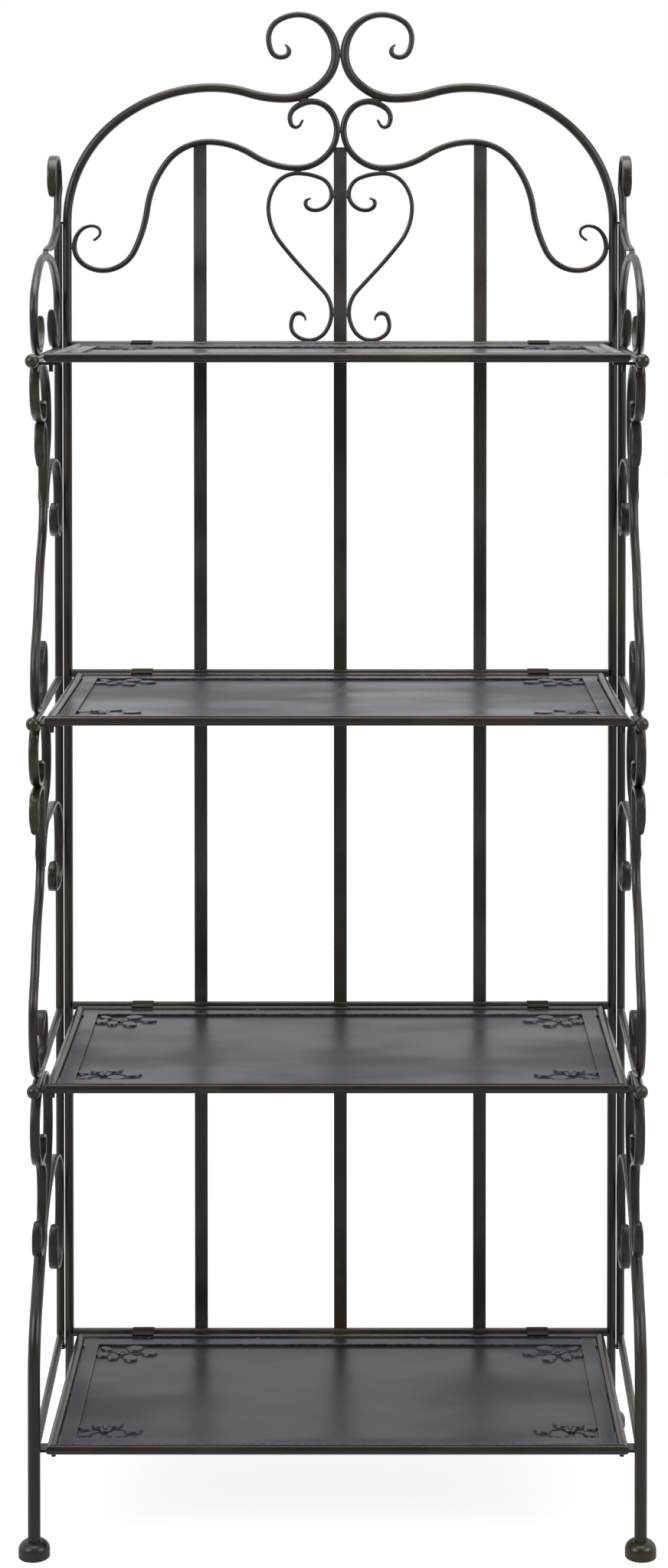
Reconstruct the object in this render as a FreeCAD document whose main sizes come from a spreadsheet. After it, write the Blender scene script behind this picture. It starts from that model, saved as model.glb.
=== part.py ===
import FreeCAD, Part
import Sketcher
import math
import os
from FreeCAD import Placement, Rotation, Vector

# Bakers rack of welded steel: a scrolled back frame, two side frames that swing on their rear posts,
# and four shelves that hinge on the back rails. Millimetres; X to the right, Y to the back, Z up.

# Driving sizes
SIZES = {
    # whole rack
    "post_spacing": 670.6,        # between the axes of the back posts
    "frame_depth": 346.0,         # back post axis to front leg axis
    "toe_in": 8.5,                # each leg stands this much further in than its side post
    "shelf_level_1": 1337.0,      # floor to the tube axis of the top shelf
    "shelf_level_2": 933.0,
    "shelf_level_3": 522.0,
    "shelf_level_4": 116.0,
    "weld_gap": 0.1,              # left between welded pieces
    # turned feet
    "foot_dia": 35.0,
    "foot_height": 17.0,
    "foot_rim": 7.5,              # straight side of the foot
    "foot_neck_dia": 19.0,
    # posts, rails and slats
    "post_dia": 11.0,
    "post_gap": 0.7,              # slit between back post and side post
    "side_post_dia": 10.0,
    "side_post_start": 100.0,     # height of its lower end
    "side_post_rise": 151.0,      # its upper end above the top shelf
    "rail_dia": 10.0,
    "rail_rise": 3.0,             # back rail axis above the shelf's tube axis
    "side_rail_dia": 9.5,
    "side_rail_drop": 4.0,        # side rail axis below the shelf's tube axis
    "ball_dia": 16.0,
    "ball_setback": 8.0,          # ball centre behind the leg axis
    "ball_socket": 5.0,           # how deep the rail sits in the ball
    "slat_width": 16.0,
    "slat_thickness": 3.0,
    "slat_pitch": 172.0,
    "slat_peak": 245.8,           # coped top of the middle slat above the top shelf
    # scrollwork stock
    "arch_height": 408.4,         # top shelf to the crest of the arch bar
    "crest_neck_dia": 7.2,        # crest scroll at its highest place
    "crest_curl_dia": 6.0,        # where its curl tightens
    "crest_tip_dia": 2.2,
    "inner_rod_dia": 7.8,
    "inner_low_dia": 6.2,         # inner arch where it touches the post
    "inner_tip_dia": 3.2,
    "heart_rod_dia": 5.2,
    "heart_tip_dia": 2.2,
    "crown_height": 120.4,        # crown scroll above the top side rail
    "top_scroll_height": 120.4,   # top scroll above the crown
    "scroll_rod_dia": 9.5,
    "scroll_foot_dia": 5.0,       # thin end of the top scroll on the crown
    "leg_rod_dia": 10.5,
    "long_leg_dia": 14.0,
    "strap_width": 11.5,
    "strap_thickness": 4.0,
    # pivots of the side frames
    "pivot_pin_dia": 6.9,
    "pivot_bore_dia": 7.0,
    "pivot_pin_length": 14.0,
    "pivot_bore_depth": 16.0,
    "pivot_plate_width": 9.0,
    "pivot_plate_thickness": 3.0,
    "pivot_end_gap": 0.3,         # plate to the end of the side post
    # shelves
    "shelf_tube_dia": 11.0,
    "shelf_side_gap": 4.8,        # shelf tube to back post
    "front_setback": 8.2,         # front tube axis behind the leg axis
    "sheet_thickness": 1.5,
    "sheet_rise": 3.0,            # top of the sheet's border above the tube axis
    "border_width": 19.0,
    "recess_depth": 3.0,          # top of the border strips above the sheet
    "slit_width": 2.2,            # groove between border strip and tube
    "slit_inset": 24.0,           # welded corner that each groove stops at
    # shelf hinges
    "hinge_offset": 13.2,         # rear tube axis in front of the back rail axis
    "hinge_spacing": 486.0,
    "hinge_width": 26.0,
    "hinge_bore_dia": 10.1,
    "hinge_wall": 0.9,
    "hinge_reach": 17.0,          # tongue, forward from the back rail axis
    # ears that carry the shelves, and the pegs in their notches
    "tab_width": 18.0,
    "tab_thickness": 3.0,
    "tab_setback": 21.0,          # peg axis behind the front tube axis
    "tab_lip": 12.0,              # ear past the peg axis
    "seat_gap": 0.3,              # ear to shelf tube
    "peg_dia": 5.0,
    "peg_length": 11.0,
    "notch_gap": 0.8,
}

doc = FreeCAD.newDocument("bakers_rack")
sheet = doc.addObject("Spreadsheet::Sheet", "Sizes")
for row, (alias, number) in enumerate(SIZES.items(), start=1):
    sheet.set(f"A{row}", alias)
    sheet.set(f"B{row}", str(number))
    sheet.setAlias(f"B{row}", alias)
doc.recompute()


def size(alias):
    return float(sheet.get(alias))


# Places that several pieces share
GAP = size("weld_gap")
BACK_Y = size("frame_depth") / 2
FRONT_Y = -BACK_Y
POST_X = size("post_spacing") / 2
POST_R = size("post_dia") / 2
SIDE_POST_R = size("side_post_dia") / 2
SIDE_POST_X = POST_X + POST_R + size("post_gap") + SIDE_POST_R
SIDE_POST_TOP = size("shelf_level_1") + size("side_post_rise")
LEVELS = [size(f"shelf_level_{number}") for number in (1, 2, 3, 4)]
RAIL_R = size("rail_dia") / 2
RAIL_Y = BACK_Y - RAIL_R - size("slat_thickness") / 2 - GAP
SIDE_RAIL_R = size("side_rail_dia") / 2
SIDE_RAIL_Z = [level - size("side_rail_drop") for level in LEVELS]
REACH = math.hypot(size("frame_depth"), size("toe_in"))
TOE_ANGLE = math.degrees(math.atan2(size("toe_in"), size("frame_depth")))
STRAP_R = size("strap_thickness") / 2
LONG_LEG_R = size("long_leg_dia") / 2
TUBE_R = size("shelf_tube_dia") / 2
TUBE_X = POST_X - POST_R - size("shelf_side_gap") - TUBE_R
TUBE_REAR_Y = RAIL_Y - size("hinge_offset")
TUBE_FRONT_Y = FRONT_Y + size("front_setback")
TUBE_MID_Y = (TUBE_REAR_Y + TUBE_FRONT_Y) / 2

# The same distances for sizes that are bound to the sheet
TUBE_WIDTH = (
    "Sizes.post_spacing - Sizes.post_dia - 2 * Sizes.shelf_side_gap - Sizes.shelf_tube_dia"
)
TUBE_DEPTH = (
    "Sizes.frame_depth - Sizes.rail_dia / 2 - Sizes.slat_thickness / 2 - Sizes.weld_gap"
    " - Sizes.hinge_offset - Sizes.front_setback"
)

FORWARD = Rotation(Vector(0, 1, 0), 90)      # turns an upright piece to lie along local X
ACROSS = Rotation(Vector(0, 0, 1), Vector(1, 0, 0))
HALF_TURN = Rotation(Vector(0, 0, 1), 180)
nodes = []


# Scroll shapes: each row is outward or forward share, upward share, heading in degrees.
# A share or heading of None is set by the piece that the scroll touches there.

# Back frame: shares of half the post spacing and of the arch height above the top shelf
ARCH_SHARES = {
    "spring": (1.0, 0.375, 90),
    "hump": (0.468, 0.781, 180),
    "dip": (0.204, 0.7485, 180),
    "kiss": (0.139, 0.7575, 161),
    "centre": (None, 0.883, 90),
    "crest": (0.152, 1.0, 0),
    "outer": (0.262, 0.929, 270),
    "base": (0.217, 0.872, 180),
    "inner": (0.187, 0.890, 90),
    "tip": (0.203, 0.910, 30),
}
INNER_SHARES = {
    "tip": (0.136, 0.685, 300),
    "base": (0.162, 0.662, 0),
    "outer": (0.184, 0.690, 90),
    "kiss": (None, None, 161),
    "centre": (None, 0.655, 270),
    "dip": (0.157, 0.5395, 0),
    "hump": (0.483, 0.6178, 0),
    "flank": (0.706, 0.4185, 278),
    "low": (0.870, 0.2315, 0),
    "post": (None, 0.304, 90),
    "curl": (0.909, 0.3655, 180),
    "turn": (0.879, 0.3465, 270),
    "end": (0.905, 0.322, 335),
}
HEART_SHARES = {
    "tip": (0.106, 0.4475, 0),
    "turn": (0.127, 0.434, 270),
    "base": (0.0925, 0.4125, 180),
    "slat": (None, 0.4603, 90),
    "top": (0.157, None, 0),
    "outer": (0.263, 0.421, 270),
    "flank": (0.125, 0.2253, 227),
    "foot": (None, 0.105, 270),
    "low": (0.113, 0.0218, 0),
    "curl": (0.180, 0.066, 90),
    "over": (0.152, 0.103, 180),
    "end": (0.1285, 0.080, 280),
}

# Side frames: shares of the reach to the leg and of the bay between two side rails
CROOK_SHARES = (
    {
        "tip": (0.715, 0.875, 180),
        "inner": (0.640, 0.850, 270),
        "pinch": (0.690, 0.824, 0),
        "front": (0.900, 0.930, 90),
        "top": (0.715, None, 180),
        "rear": (0.465, 0.815, 270),
        "tail": (None, 0.640, 290),
    },
    {
        "tip": (0.790, 0.868, 180),
        "inner": (0.735, 0.842, 270),
        "pinch": (0.805, 0.812, 0),
        "front": (0.960, 0.915, 90),
        "top": (0.760, None, 180),
        "rear": (0.500, 0.845, 270),
        "tail": (None, 0.640, 290),
    },
)
LEG_SHARES = (
    {
        "blunt": (0.708, 0.690, 93),
        "front": (0.735, 0.762, 90),
        "crest": (None, None, 180),
        "rear": (0.605, 0.740, 270),
        "step": (0.590, 0.600, 270),
        "shin": (0.775, 0.330, 291),
        "toe": (0.915, 0.105, 270),
        "sole": (0.832, None, 180),
        "heel": (0.615, 0.110, 90),
        "curl": (0.680, 0.190, 0),
        "end": (0.735, 0.130, 285),
    },
    {
        "blunt": (0.925, 0.690, 92),
        "front": (0.945, 0.755, 90),
        "crest": (None, None, 180),
        "rear": (0.735, 0.730, 270),
        "step": (0.725, 0.600, 270),
        "shin": (0.900, 0.360, 291),
        "toe": (1.000, 0.190, 270),
        "sole": (0.852, None, 180),
        "heel": (0.640, 0.085, 90),
        "curl": (0.705, 0.155, 0),
        "end": (0.760, 0.100, 285),
    },
)
CURL_SHARES = (
    {
        "start": (None, 0.555, 92),
        "top": (0.300, 0.684, 180),
        "post": (None, 0.545, 270),
        "base": (0.110, 0.448, 0),
        "front": (0.205, 0.505, 90),
        "tip": (0.165, 0.545, 180),
    },
    {
        "start": (None, 0.555, 92),
        "top": (0.300, 0.668, 180),
        "post": (None, 0.515, 270),
        "base": (0.150, 0.405, 0),
        "front": (0.290, 0.455, 90),
        "tip": (0.240, 0.490, 180),
    },
)
LONG_LEG_SHARES = {
    "tip": (0.755, 0.815, 180),
    "inner": (0.705, 0.790, 270),
    "pinch": (0.800, 0.758, 0),
    "front": (0.945, 0.880, 90),
    "top": (0.745, None, 180),
    "rear": (0.475, 0.800, 270),
    "knee": (0.735, 0.522, 315),
    "drop": (1.0, 0.200, 270),
    "foot": (1.0, None, 270),
}
TOE_SCROLL_SHARES = {
    "start": (None, None, 180),
    "rear": (0.700, 0.640, 270),
    "seat": (None, None, None),
    "front": (0.885, 0.550, 90),
    "tip": (0.850, 0.603, 180),
}
LOW_CURL_SHARES = {
    "start": (None, None, None),
    "top": (0.300, 0.620, 180),
    "post": (None, 0.440, 270),
    "base": (0.150, 0.270, 0),
    "front": (0.290, 0.345, 90),
    "tip": (0.240, 0.412, 180),
}
# above the top side rail: shares of the reach and of the crown's height
CROWN_SHARES = {
    "tip": (0.690, 0.402, 270),
    "fore_base": (0.805, None, 0),
    "front": (0.915, 0.448, 90),
    "fore": (0.785, 0.805, 155),
    "top": (0.490, None, 180),
    "aft": (0.155, 0.805, 204),
    "post": (None, 0.432, 270),
    "aft_base": (0.150, None, 0),
    "end": (0.270, 0.438, 90),
}
# above the crown: shares of the reach and of the top scroll's height
TOP_SCROLL_SHARES = {
    "start": (None, None, 174),
    "lean": (0.215, 0.100, 165),
    "rise": (0.025, 0.400, 112),
    "back": (0.012, 0.640, 88),
    "top": (0.133, 0.960, 0),
    "front": (0.250, 0.750, 270),
    "end": (0.220, 0.560, 215),
}


# Tangent arcs through the nodes of a scroll

def heading(angle):
    return Vector(math.cos(math.radians(angle)), 0, math.sin(math.radians(angle)))


def scroll_nodes(shares, width, height, base):
    """Nodes as places; a share of None stays None until its contact is known."""
    placed = {}
    for name, (across, up, angle) in shares.items():
        forward = None if across is None else across * width
        level = None if up is None else base + up * height
        placed[name] = (forward, level, angle)
    return placed


def moved(node, across=None, up=None, angle=None):
    """The same node with its open shares set by a contact."""
    contact = (across, up, angle)
    return tuple(old if new is None else new for old, new in zip(node, contact))


def beside(node, distance, side):
    """A place at a distance square to the node's heading, on its left (1) or right (-1)."""
    place = Vector(node[0], 0, node[1]) + heading(node[2] + side * 90) * distance
    return place.x, place.z


def bend(start, tangent, end):
    """One arc, or a line, that leaves start along tangent; also gives the heading at its end."""
    chord = end - start
    along = Vector(chord).normalize()
    bulge = tangent - along * tangent.dot(along)
    out = along * 2 * tangent.dot(along) - tangent
    if bulge.Length < 1e-6:
        return Part.LineSegment(start, end).toShape(), out
    half = math.atan2(bulge.Length, tangent.dot(along))
    middle = (start + end) / 2 + bulge.normalize() * chord.Length / 2 * math.tan(half / 2)
    return Part.Arc(start, middle, end).toShape(), out


def bends(first, second):
    """Two arcs that join a pair of nodes."""
    start, end = Vector(first[0], 0, first[1]), Vector(second[0], 0, second[1])
    leave, arrive = heading(first[2]), heading(second[2])
    chord = end - start
    if chord.cross(leave).Length + chord.cross(arrive).Length < 1e-6:
        return [Part.LineSegment(start, end).toShape()]
    along = chord.dot(leave + arrive)
    spread = 2 * (1 - leave.dot(arrive))
    if spread < 1e-6:
        handle = chord.dot(chord) / (4 * chord.dot(arrive))
    else:
        handle = (math.sqrt(along ** 2 + spread * chord.dot(chord)) - along) / spread
    joint = (start + end + (leave - arrive) * handle) / 2
    first_arc, turn = bend(start, leave, joint)
    return [first_arc, bend(joint, turn, end)[0]]


def path_wire(run):
    edges = []
    for first, second in zip(run, run[1:]):
        edges += bends(first, second)
    return Part.Wire(edges)


def rod_section(node, radius):
    return Part.Wire(Part.makeCircle(radius, Vector(node[0], 0, node[1]), heading(node[2])))


def strap_section(node):
    place = Vector(node[0], 0, node[1])
    thick = heading(node[2] + 90) * STRAP_R
    wide = Vector(0, size("strap_width") / 2, 0)
    corners = [place + thick + wide, place + thick - wide, place - thick - wide, place - thick + wide]
    return Part.makePolygon(corners + corners[:1])


def swept(run, *sections):
    """A solid that carries its sections along the arcs of a run."""
    pipe = Part.BRepOffsetAPI.MakePipeShell(path_wire(run))
    pipe.setBiNormalMode(Vector(0, 1, 0))
    for section in sections:
        pipe.add(section)
    pipe.build()
    pipe.makeSolid()
    return pipe.shape()


def rod(run, radius):
    return swept(run, rod_section(run[0], radius))


def tapered(run, start_dia, end_dia):
    """A rod drawn out from one diameter to another; both are names on the sheet."""
    return swept(run, rod_section(run[0], size(start_dia) / 2), rod_section(run[-1], size(end_dia) / 2))


def strap(run):
    return swept(run, strap_section(run[0]))


def stretch(places, first, last):
    """The nodes of a scroll from one name to another."""
    names = list(places)
    return [places[name] for name in names[names.index(first):names.index(last) + 1]]


# Document objects

def finish(label, piece, placement=None):
    """Name a finished sub-part and keep it for export."""
    piece.Label = label
    if placement is not None:
        piece.Placement = placement
    nodes.append(piece)
    return piece


def welded(label, shapes, placement):
    """A sub-part of one solid, welded up from swept stretches."""
    piece = doc.addObject("Part::Feature", label)
    shape = shapes[0]
    if len(shapes) > 1:
        shape = shape.multiFuse(shapes[1:])
    piece.Shape = shape
    return finish(label, piece, placement)


def group(label, pieces, placement):
    """A sub-part of several like solids that move together."""
    piece = doc.addObject("Part::Compound", label)
    piece.Links = pieces
    return finish(label, piece, placement)


def cylinder(name, radius, height, place, rotation=Rotation()):
    """Radius and height are expressions on the sheet."""
    piece = doc.addObject("Part::Cylinder", name)
    piece.setExpression("Radius", radius)
    piece.setExpression("Height", height)
    piece.Placement = Placement(place, rotation)
    return piece


def box(name, length, width, height, place):
    """Length, width and height are expressions on the sheet."""
    piece = doc.addObject("Part::Box", name)
    piece.setExpression("Length", length)
    piece.setExpression("Width", width)
    piece.setExpression("Height", height)
    piece.Placement = Placement(place, Rotation())
    return piece


def fused(name, pieces):
    piece = doc.addObject("Part::MultiFuse", name)
    piece.Shapes = pieces
    return piece


def cut(name, base, tool):
    piece = doc.addObject("Part::Cut", name)
    piece.Base = base
    piece.Tool = tool
    return piece


def origin_plane(body, role):
    return [item for item in body.Origin.OriginFeatures if item.Role == role][0]


def flat_sketch(body, name, role, offset=None):
    """A sketch on one of the body's own planes; offset is an expression along its normal."""
    sketch = body.newObject("Sketcher::SketchObject", name)
    sketch.AttachmentSupport = [(origin_plane(body, role), "")]
    sketch.MapMode = "FlatFace"
    if offset is not None:
        sketch.setExpression("AttachmentOffset.Base.z", offset)
    return sketch


def bound(sketch, constraint, expression):
    """A constraint whose value follows an expression on the sheet."""
    number = sketch.addConstraint(constraint)
    sketch.setExpression(f"Constraints[{number}]", expression)


def rectangle(sketch, width, depth, left, front):
    """A rectangle from the place of its left front corner; all four are expressions."""
    corners = [Vector(0, 0, 0), Vector(1, 0, 0), Vector(1, 1, 0), Vector(0, 1, 0)]
    first = sketch.GeometryCount
    for start, end in zip(corners, corners[1:] + corners[:1]):
        sketch.addGeometry(Part.LineSegment(start, end))
    for side in range(4):
        following = first + (side + 1) % 4
        sketch.addConstraint(Sketcher.Constraint("Coincident", first + side, 2, following, 1))
        level = "Horizontal" if side % 2 == 0 else "Vertical"
        sketch.addConstraint(Sketcher.Constraint(level, first + side))
    bound(sketch, Sketcher.Constraint("DistanceX", first, 1, first, 2, 1.0), width)
    bound(sketch, Sketcher.Constraint("DistanceY", first + 1, 1, first + 1, 2, 1.0), depth)
    bound(sketch, Sketcher.Constraint("DistanceX", -1, 1, first, 1, 1.0), left)
    bound(sketch, Sketcher.Constraint("DistanceY", -1, 1, first, 1, 1.0), front)


def middle_rectangle(sketch, width, depth):
    rectangle(sketch, width, depth, f"-({width}) / 2", f"-({depth}) / 2")


def turned_foot(label, place):
    """Disc foot: straight rim, domed shoulder and a flat neck under the leg."""
    body = doc.addObject("PartDesign::Body", label)
    sketch = flat_sketch(body, f"{label}_profile", "XZ_Plane")
    rim, neck = size("foot_dia") / 2, size("foot_neck_dia") / 2
    low, high = size("foot_rim"), size("foot_height")
    outline = [Vector(0, 0, 0), Vector(rim, 0, 0), Vector(rim, low, 0)]
    outline += [Vector(neck, high, 0), Vector(0, high, 0)]
    shoulder = Vector(rim - (rim - neck) * (1 - math.sqrt(0.5)), low + (high - low) * math.sqrt(0.5), 0)
    sketch.addGeometry(Part.LineSegment(outline[0], outline[1]))
    sketch.addGeometry(Part.LineSegment(outline[1], outline[2]))
    sketch.addGeometry(Part.Arc(outline[2], shoulder, outline[3]))
    sketch.addGeometry(Part.LineSegment(outline[3], outline[4]))
    sketch.addGeometry(Part.LineSegment(outline[4], outline[0]))
    sketch.addConstraint(Sketcher.Constraint("Coincident", 0, 2, 1, 1))
    sketch.addConstraint(Sketcher.Constraint("Tangent", 1, 2, 2, 1))
    sketch.addConstraint(Sketcher.Constraint("Coincident", 2, 2, 3, 1))
    sketch.addConstraint(Sketcher.Constraint("Coincident", 3, 2, 4, 1))
    sketch.addConstraint(Sketcher.Constraint("Coincident", 4, 2, 0, 1))
    sketch.addConstraint(Sketcher.Constraint("Coincident", 0, 1, -1, 1))
    sketch.addConstraint(Sketcher.Constraint("Horizontal", 0))
    sketch.addConstraint(Sketcher.Constraint("Vertical", 1))
    sketch.addConstraint(Sketcher.Constraint("Horizontal", 3))
    sketch.addConstraint(Sketcher.Constraint("Vertical", 4))
    bound(sketch, Sketcher.Constraint("DistanceX", 0, 1, 0, 2, rim), "Sizes.foot_dia / 2")
    bound(sketch, Sketcher.Constraint("DistanceY", 1, 1, 1, 2, low), "Sizes.foot_rim")
    bound(sketch, Sketcher.Constraint("DistanceX", 3, 2, 3, 1, neck), "Sizes.foot_neck_dia / 2")
    bound(sketch, Sketcher.Constraint("DistanceY", 0, 1, 3, 2, high), "Sizes.foot_height")
    turn = body.newObject("PartDesign::Revolution", f"{label}_turning")
    turn.Profile = sketch
    turn.ReferenceAxis = (sketch, ["V_Axis"])
    turn.Angle = 360
    body.Tip = turn
    return finish(label, body, Placement(place, Rotation()))


# Back frame: built for the right half, the left half is the same shape turned about the middle
arch = scroll_nodes(ARCH_SHARES, POST_X, size("arch_height"), LEVELS[0])
arch["centre"] = moved(arch["centre"], across=POST_R + GAP / 2)
post_start = (POST_X, size("foot_height"), 90)

inner_r = size("inner_rod_dia") / 2
inner = scroll_nodes(INNER_SHARES, POST_X, size("arch_height"), LEVELS[0])
kiss_x, kiss_z = beside(arch["kiss"], POST_R + inner_r + GAP, 1)
inner["kiss"] = moved(inner["kiss"], kiss_x, kiss_z)
inner["centre"] = moved(inner["centre"], across=inner_r + GAP / 2)
inner["post"] = moved(inner["post"], across=POST_X - POST_R - size("inner_low_dia") / 2 - GAP)

heart_r = size("heart_rod_dia") / 2
heart_x = size("slat_width") / 2 + heart_r + GAP
heart = scroll_nodes(HEART_SHARES, POST_X, size("arch_height"), LEVELS[0])
heart["slat"] = moved(heart["slat"], across=heart_x)
heart["top"] = moved(heart["top"], up=inner["dip"][1] - inner_r - heart_r - GAP)
heart["foot"] = moved(heart["foot"], across=heart_x)

post_stretches = [
    rod([post_start] + stretch(arch, "spring", "centre"), POST_R),
    tapered(stretch(arch, "centre", "crest"), "post_dia", "crest_neck_dia"),
    tapered(stretch(arch, "crest", "inner"), "crest_neck_dia", "crest_curl_dia"),
    tapered(stretch(arch, "inner", "tip"), "crest_curl_dia", "crest_tip_dia"),
]
inner_stretches = [
    tapered(stretch(inner, "tip", "kiss"), "inner_tip_dia", "inner_rod_dia"),
    rod(stretch(inner, "kiss", "flank"), inner_r),
    tapered(stretch(inner, "flank", "post"), "inner_rod_dia", "inner_low_dia"),
    tapered(stretch(inner, "post", "end"), "inner_low_dia", "inner_tip_dia"),
]
heart_stretches = [
    tapered(stretch(heart, "tip", "base"), "heart_tip_dia", "heart_rod_dia"),
    rod(stretch(heart, "base", "curl"), heart_r),
    tapered(stretch(heart, "curl", "end"), "heart_rod_dia", "heart_tip_dia"),
]

for side, turn in (("left", HALF_TURN), ("right", Rotation())):
    back_plane = Placement(Vector(0, BACK_Y, 0), turn)
    welded(f"back_post_{side}", post_stretches, back_plane)
    welded(f"inner_arch_{side}", inner_stretches, back_plane)
    welded(f"heart_scroll_{side}", heart_stretches, back_plane)


# The outer slats stop just under the inner arch; the middle one is coped to fit between its halves
def slat_top(middle):
    reach = inner_r + GAP
    tops = []
    for point in path_wire(list(inner.values())).discretize(Distance=GAP * 10):
        aside = max(0, abs(point.x - middle) - size("slat_width") / 2)
        if aside < reach:
            tops.append(point.z - math.sqrt(reach ** 2 - aside ** 2))
    return min(tops)


slat_start = LEVELS[3] + size("rail_rise") - RAIL_R


def slat_bar(name, middle, top):
    slat = doc.addObject("Part::Box", name)
    slat.setExpression("Length", "Sizes.slat_width")
    slat.setExpression("Width", "Sizes.slat_thickness")
    slat.Height = top - slat_start
    corner = Vector(middle - size("slat_width") / 2, BACK_Y - size("slat_thickness") / 2, slat_start)
    slat.Placement = Placement(corner, Rotation())
    return slat


cope_rod = rod(stretch(inner, "centre", "dip"), inner_r + GAP)
copes = []
for side, turn in (("left", HALF_TURN), ("right", Rotation())):
    cope = doc.addObject("Part::Feature", f"slat_cope_{side}")
    cope.Shape = cope_rod
    cope.Placement = Placement(Vector(0, BACK_Y, 0), turn)
    copes.append(cope)
middle_bar = slat_bar("slat_middle_bar", 0, LEVELS[0] + size("slat_peak"))
finish("back_slat_left", slat_bar("back_slat_left", -size("slat_pitch"), slat_top(size("slat_pitch"))))
finish("back_slat_centre", cut("back_slat_centre", middle_bar, fused("slat_copes", copes)))
finish("back_slat_right", slat_bar("back_slat_right", size("slat_pitch"), slat_top(size("slat_pitch"))))

# Back rails pass in front of the slats and meet the posts at their front inner side
rail_half = POST_X - math.sqrt(POST_R ** 2 - (size("slat_thickness") / 2 + GAP) ** 2) - GAP
for number, level in enumerate(LEVELS, start=1):
    rail = doc.addObject("Part::Cylinder", f"back_rail_{number}")
    rail.setExpression("Radius", "Sizes.rail_dia / 2")
    rail.Height = 2 * rail_half
    place = Vector(-rail_half, RAIL_Y, level + size("rail_rise"))
    finish(f"back_rail_{number}", rail, Placement(place, FORWARD))

turned_foot("back_foot_left", Vector(-POST_X, BACK_Y, 0))
turned_foot("back_foot_right", Vector(POST_X, BACK_Y, 0))

# Pivot plates: ears on the back post with pins in the ends of the side post
for side, turn, out in (("left", Rotation(), -1), ("right", HALF_TURN, 1)):
    plates = []
    top_plate = SIDE_POST_TOP + size("pivot_end_gap")
    low_plate = size("side_post_start") - size("pivot_end_gap") - size("pivot_plate_thickness")
    top_pin = top_plate - size("pivot_pin_length")
    low_pin = low_plate + size("pivot_plate_thickness")
    for end, level, pin_level in (("top", top_plate, top_pin), ("low", low_plate, low_pin)):
        name = f"pivot_{end}_{side}"
        ear = box(
            f"{name}_ear",
            "Sizes.post_gap + Sizes.side_post_dia / 2 - Sizes.weld_gap",
            "Sizes.pivot_plate_width",
            "Sizes.pivot_plate_thickness",
            Vector(0, -size("pivot_plate_width") / 2, level),
        )
        eye = cylinder(
            f"{name}_eye", "Sizes.pivot_plate_width / 2", "Sizes.pivot_plate_thickness", Vector(0, 0, level)
        )
        pin = cylinder(
            f"{name}_pin", "Sizes.pivot_pin_dia / 2", "Sizes.pivot_pin_length", Vector(0, 0, pin_level)
        )
        plates.append(fused(name, [ear, eye, pin]))
    group(f"pivot_plates_{side}", plates, Placement(Vector(out * SIDE_POST_X, BACK_Y, 0), turn))


# Side scrolls, in a frame with X forward from the side post and Z up
def bay_shapes(bay):
    """Crook, leg and rear curl between two side rails."""
    upper, lower = SIDE_RAIL_Z[bay], SIDE_RAIL_Z[bay + 1]
    crook = scroll_nodes(CROOK_SHARES[bay], REACH, upper - lower, lower)
    leg = scroll_nodes(LEG_SHARES[bay], REACH, upper - lower, lower)
    curl = scroll_nodes(CURL_SHARES[bay], REACH, upper - lower, lower)
    leg_r = size("leg_rod_dia") / 2
    crook["top"] = moved(crook["top"], up=upper - SIDE_RAIL_R - STRAP_R - GAP)
    crook["tail"] = moved(crook["tail"], across=leg["step"][0] - 2 * STRAP_R - GAP)
    leg["crest"] = moved(leg["crest"], crook["pinch"][0], crook["pinch"][1] - 2 * STRAP_R - GAP)
    leg["sole"] = moved(leg["sole"], up=lower + SIDE_RAIL_R + leg_r + GAP)
    curl["start"] = moved(curl["start"], across=leg["step"][0] - leg_r - STRAP_R - GAP)
    curl["post"] = moved(curl["post"], across=SIDE_POST_R + STRAP_R + GAP)
    leg_stretches = [
        strap(stretch(leg, "blunt", "step")),
        rod(stretch(leg, "step", "sole"), leg_r),
        strap(stretch(leg, "sole", "end")),
    ]
    return strap(list(crook.values())), leg_stretches, strap(list(curl.values()))


def low_shapes():
    """Long leg, toe scroll and rear curl below the lowest ball."""
    upper, lower = SIDE_RAIL_Z[2], SIDE_RAIL_Z[3]
    leg = scroll_nodes(LONG_LEG_SHARES, REACH, upper - lower, lower)
    toe = scroll_nodes(TOE_SCROLL_SHARES, REACH, upper - lower, lower)
    curl = scroll_nodes(LOW_CURL_SHARES, REACH, upper - lower, lower)
    leg["top"] = moved(leg["top"], up=upper - SIDE_RAIL_R - STRAP_R - GAP)
    leg["foot"] = moved(leg["foot"], up=size("foot_height"))
    toe["start"] = moved(toe["start"], leg["pinch"][0], leg["pinch"][1] - 2 * STRAP_R - GAP)
    knee_gap, knee_angle = LONG_LEG_R + STRAP_R + GAP, leg["knee"][2]
    toe["seat"] = moved(toe["seat"], *beside(leg["knee"], knee_gap, 1), knee_angle)
    curl["start"] = moved(curl["start"], *beside(leg["knee"], knee_gap, -1), knee_angle - 180)
    curl["post"] = moved(curl["post"], across=SIDE_POST_R + STRAP_R + GAP)
    leg_stretches = [strap(stretch(leg, "tip", "knee")), rod(stretch(leg, "knee", "foot"), LONG_LEG_R)]
    return leg_stretches, strap(list(toe.values())), strap(list(curl.values()))


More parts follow.
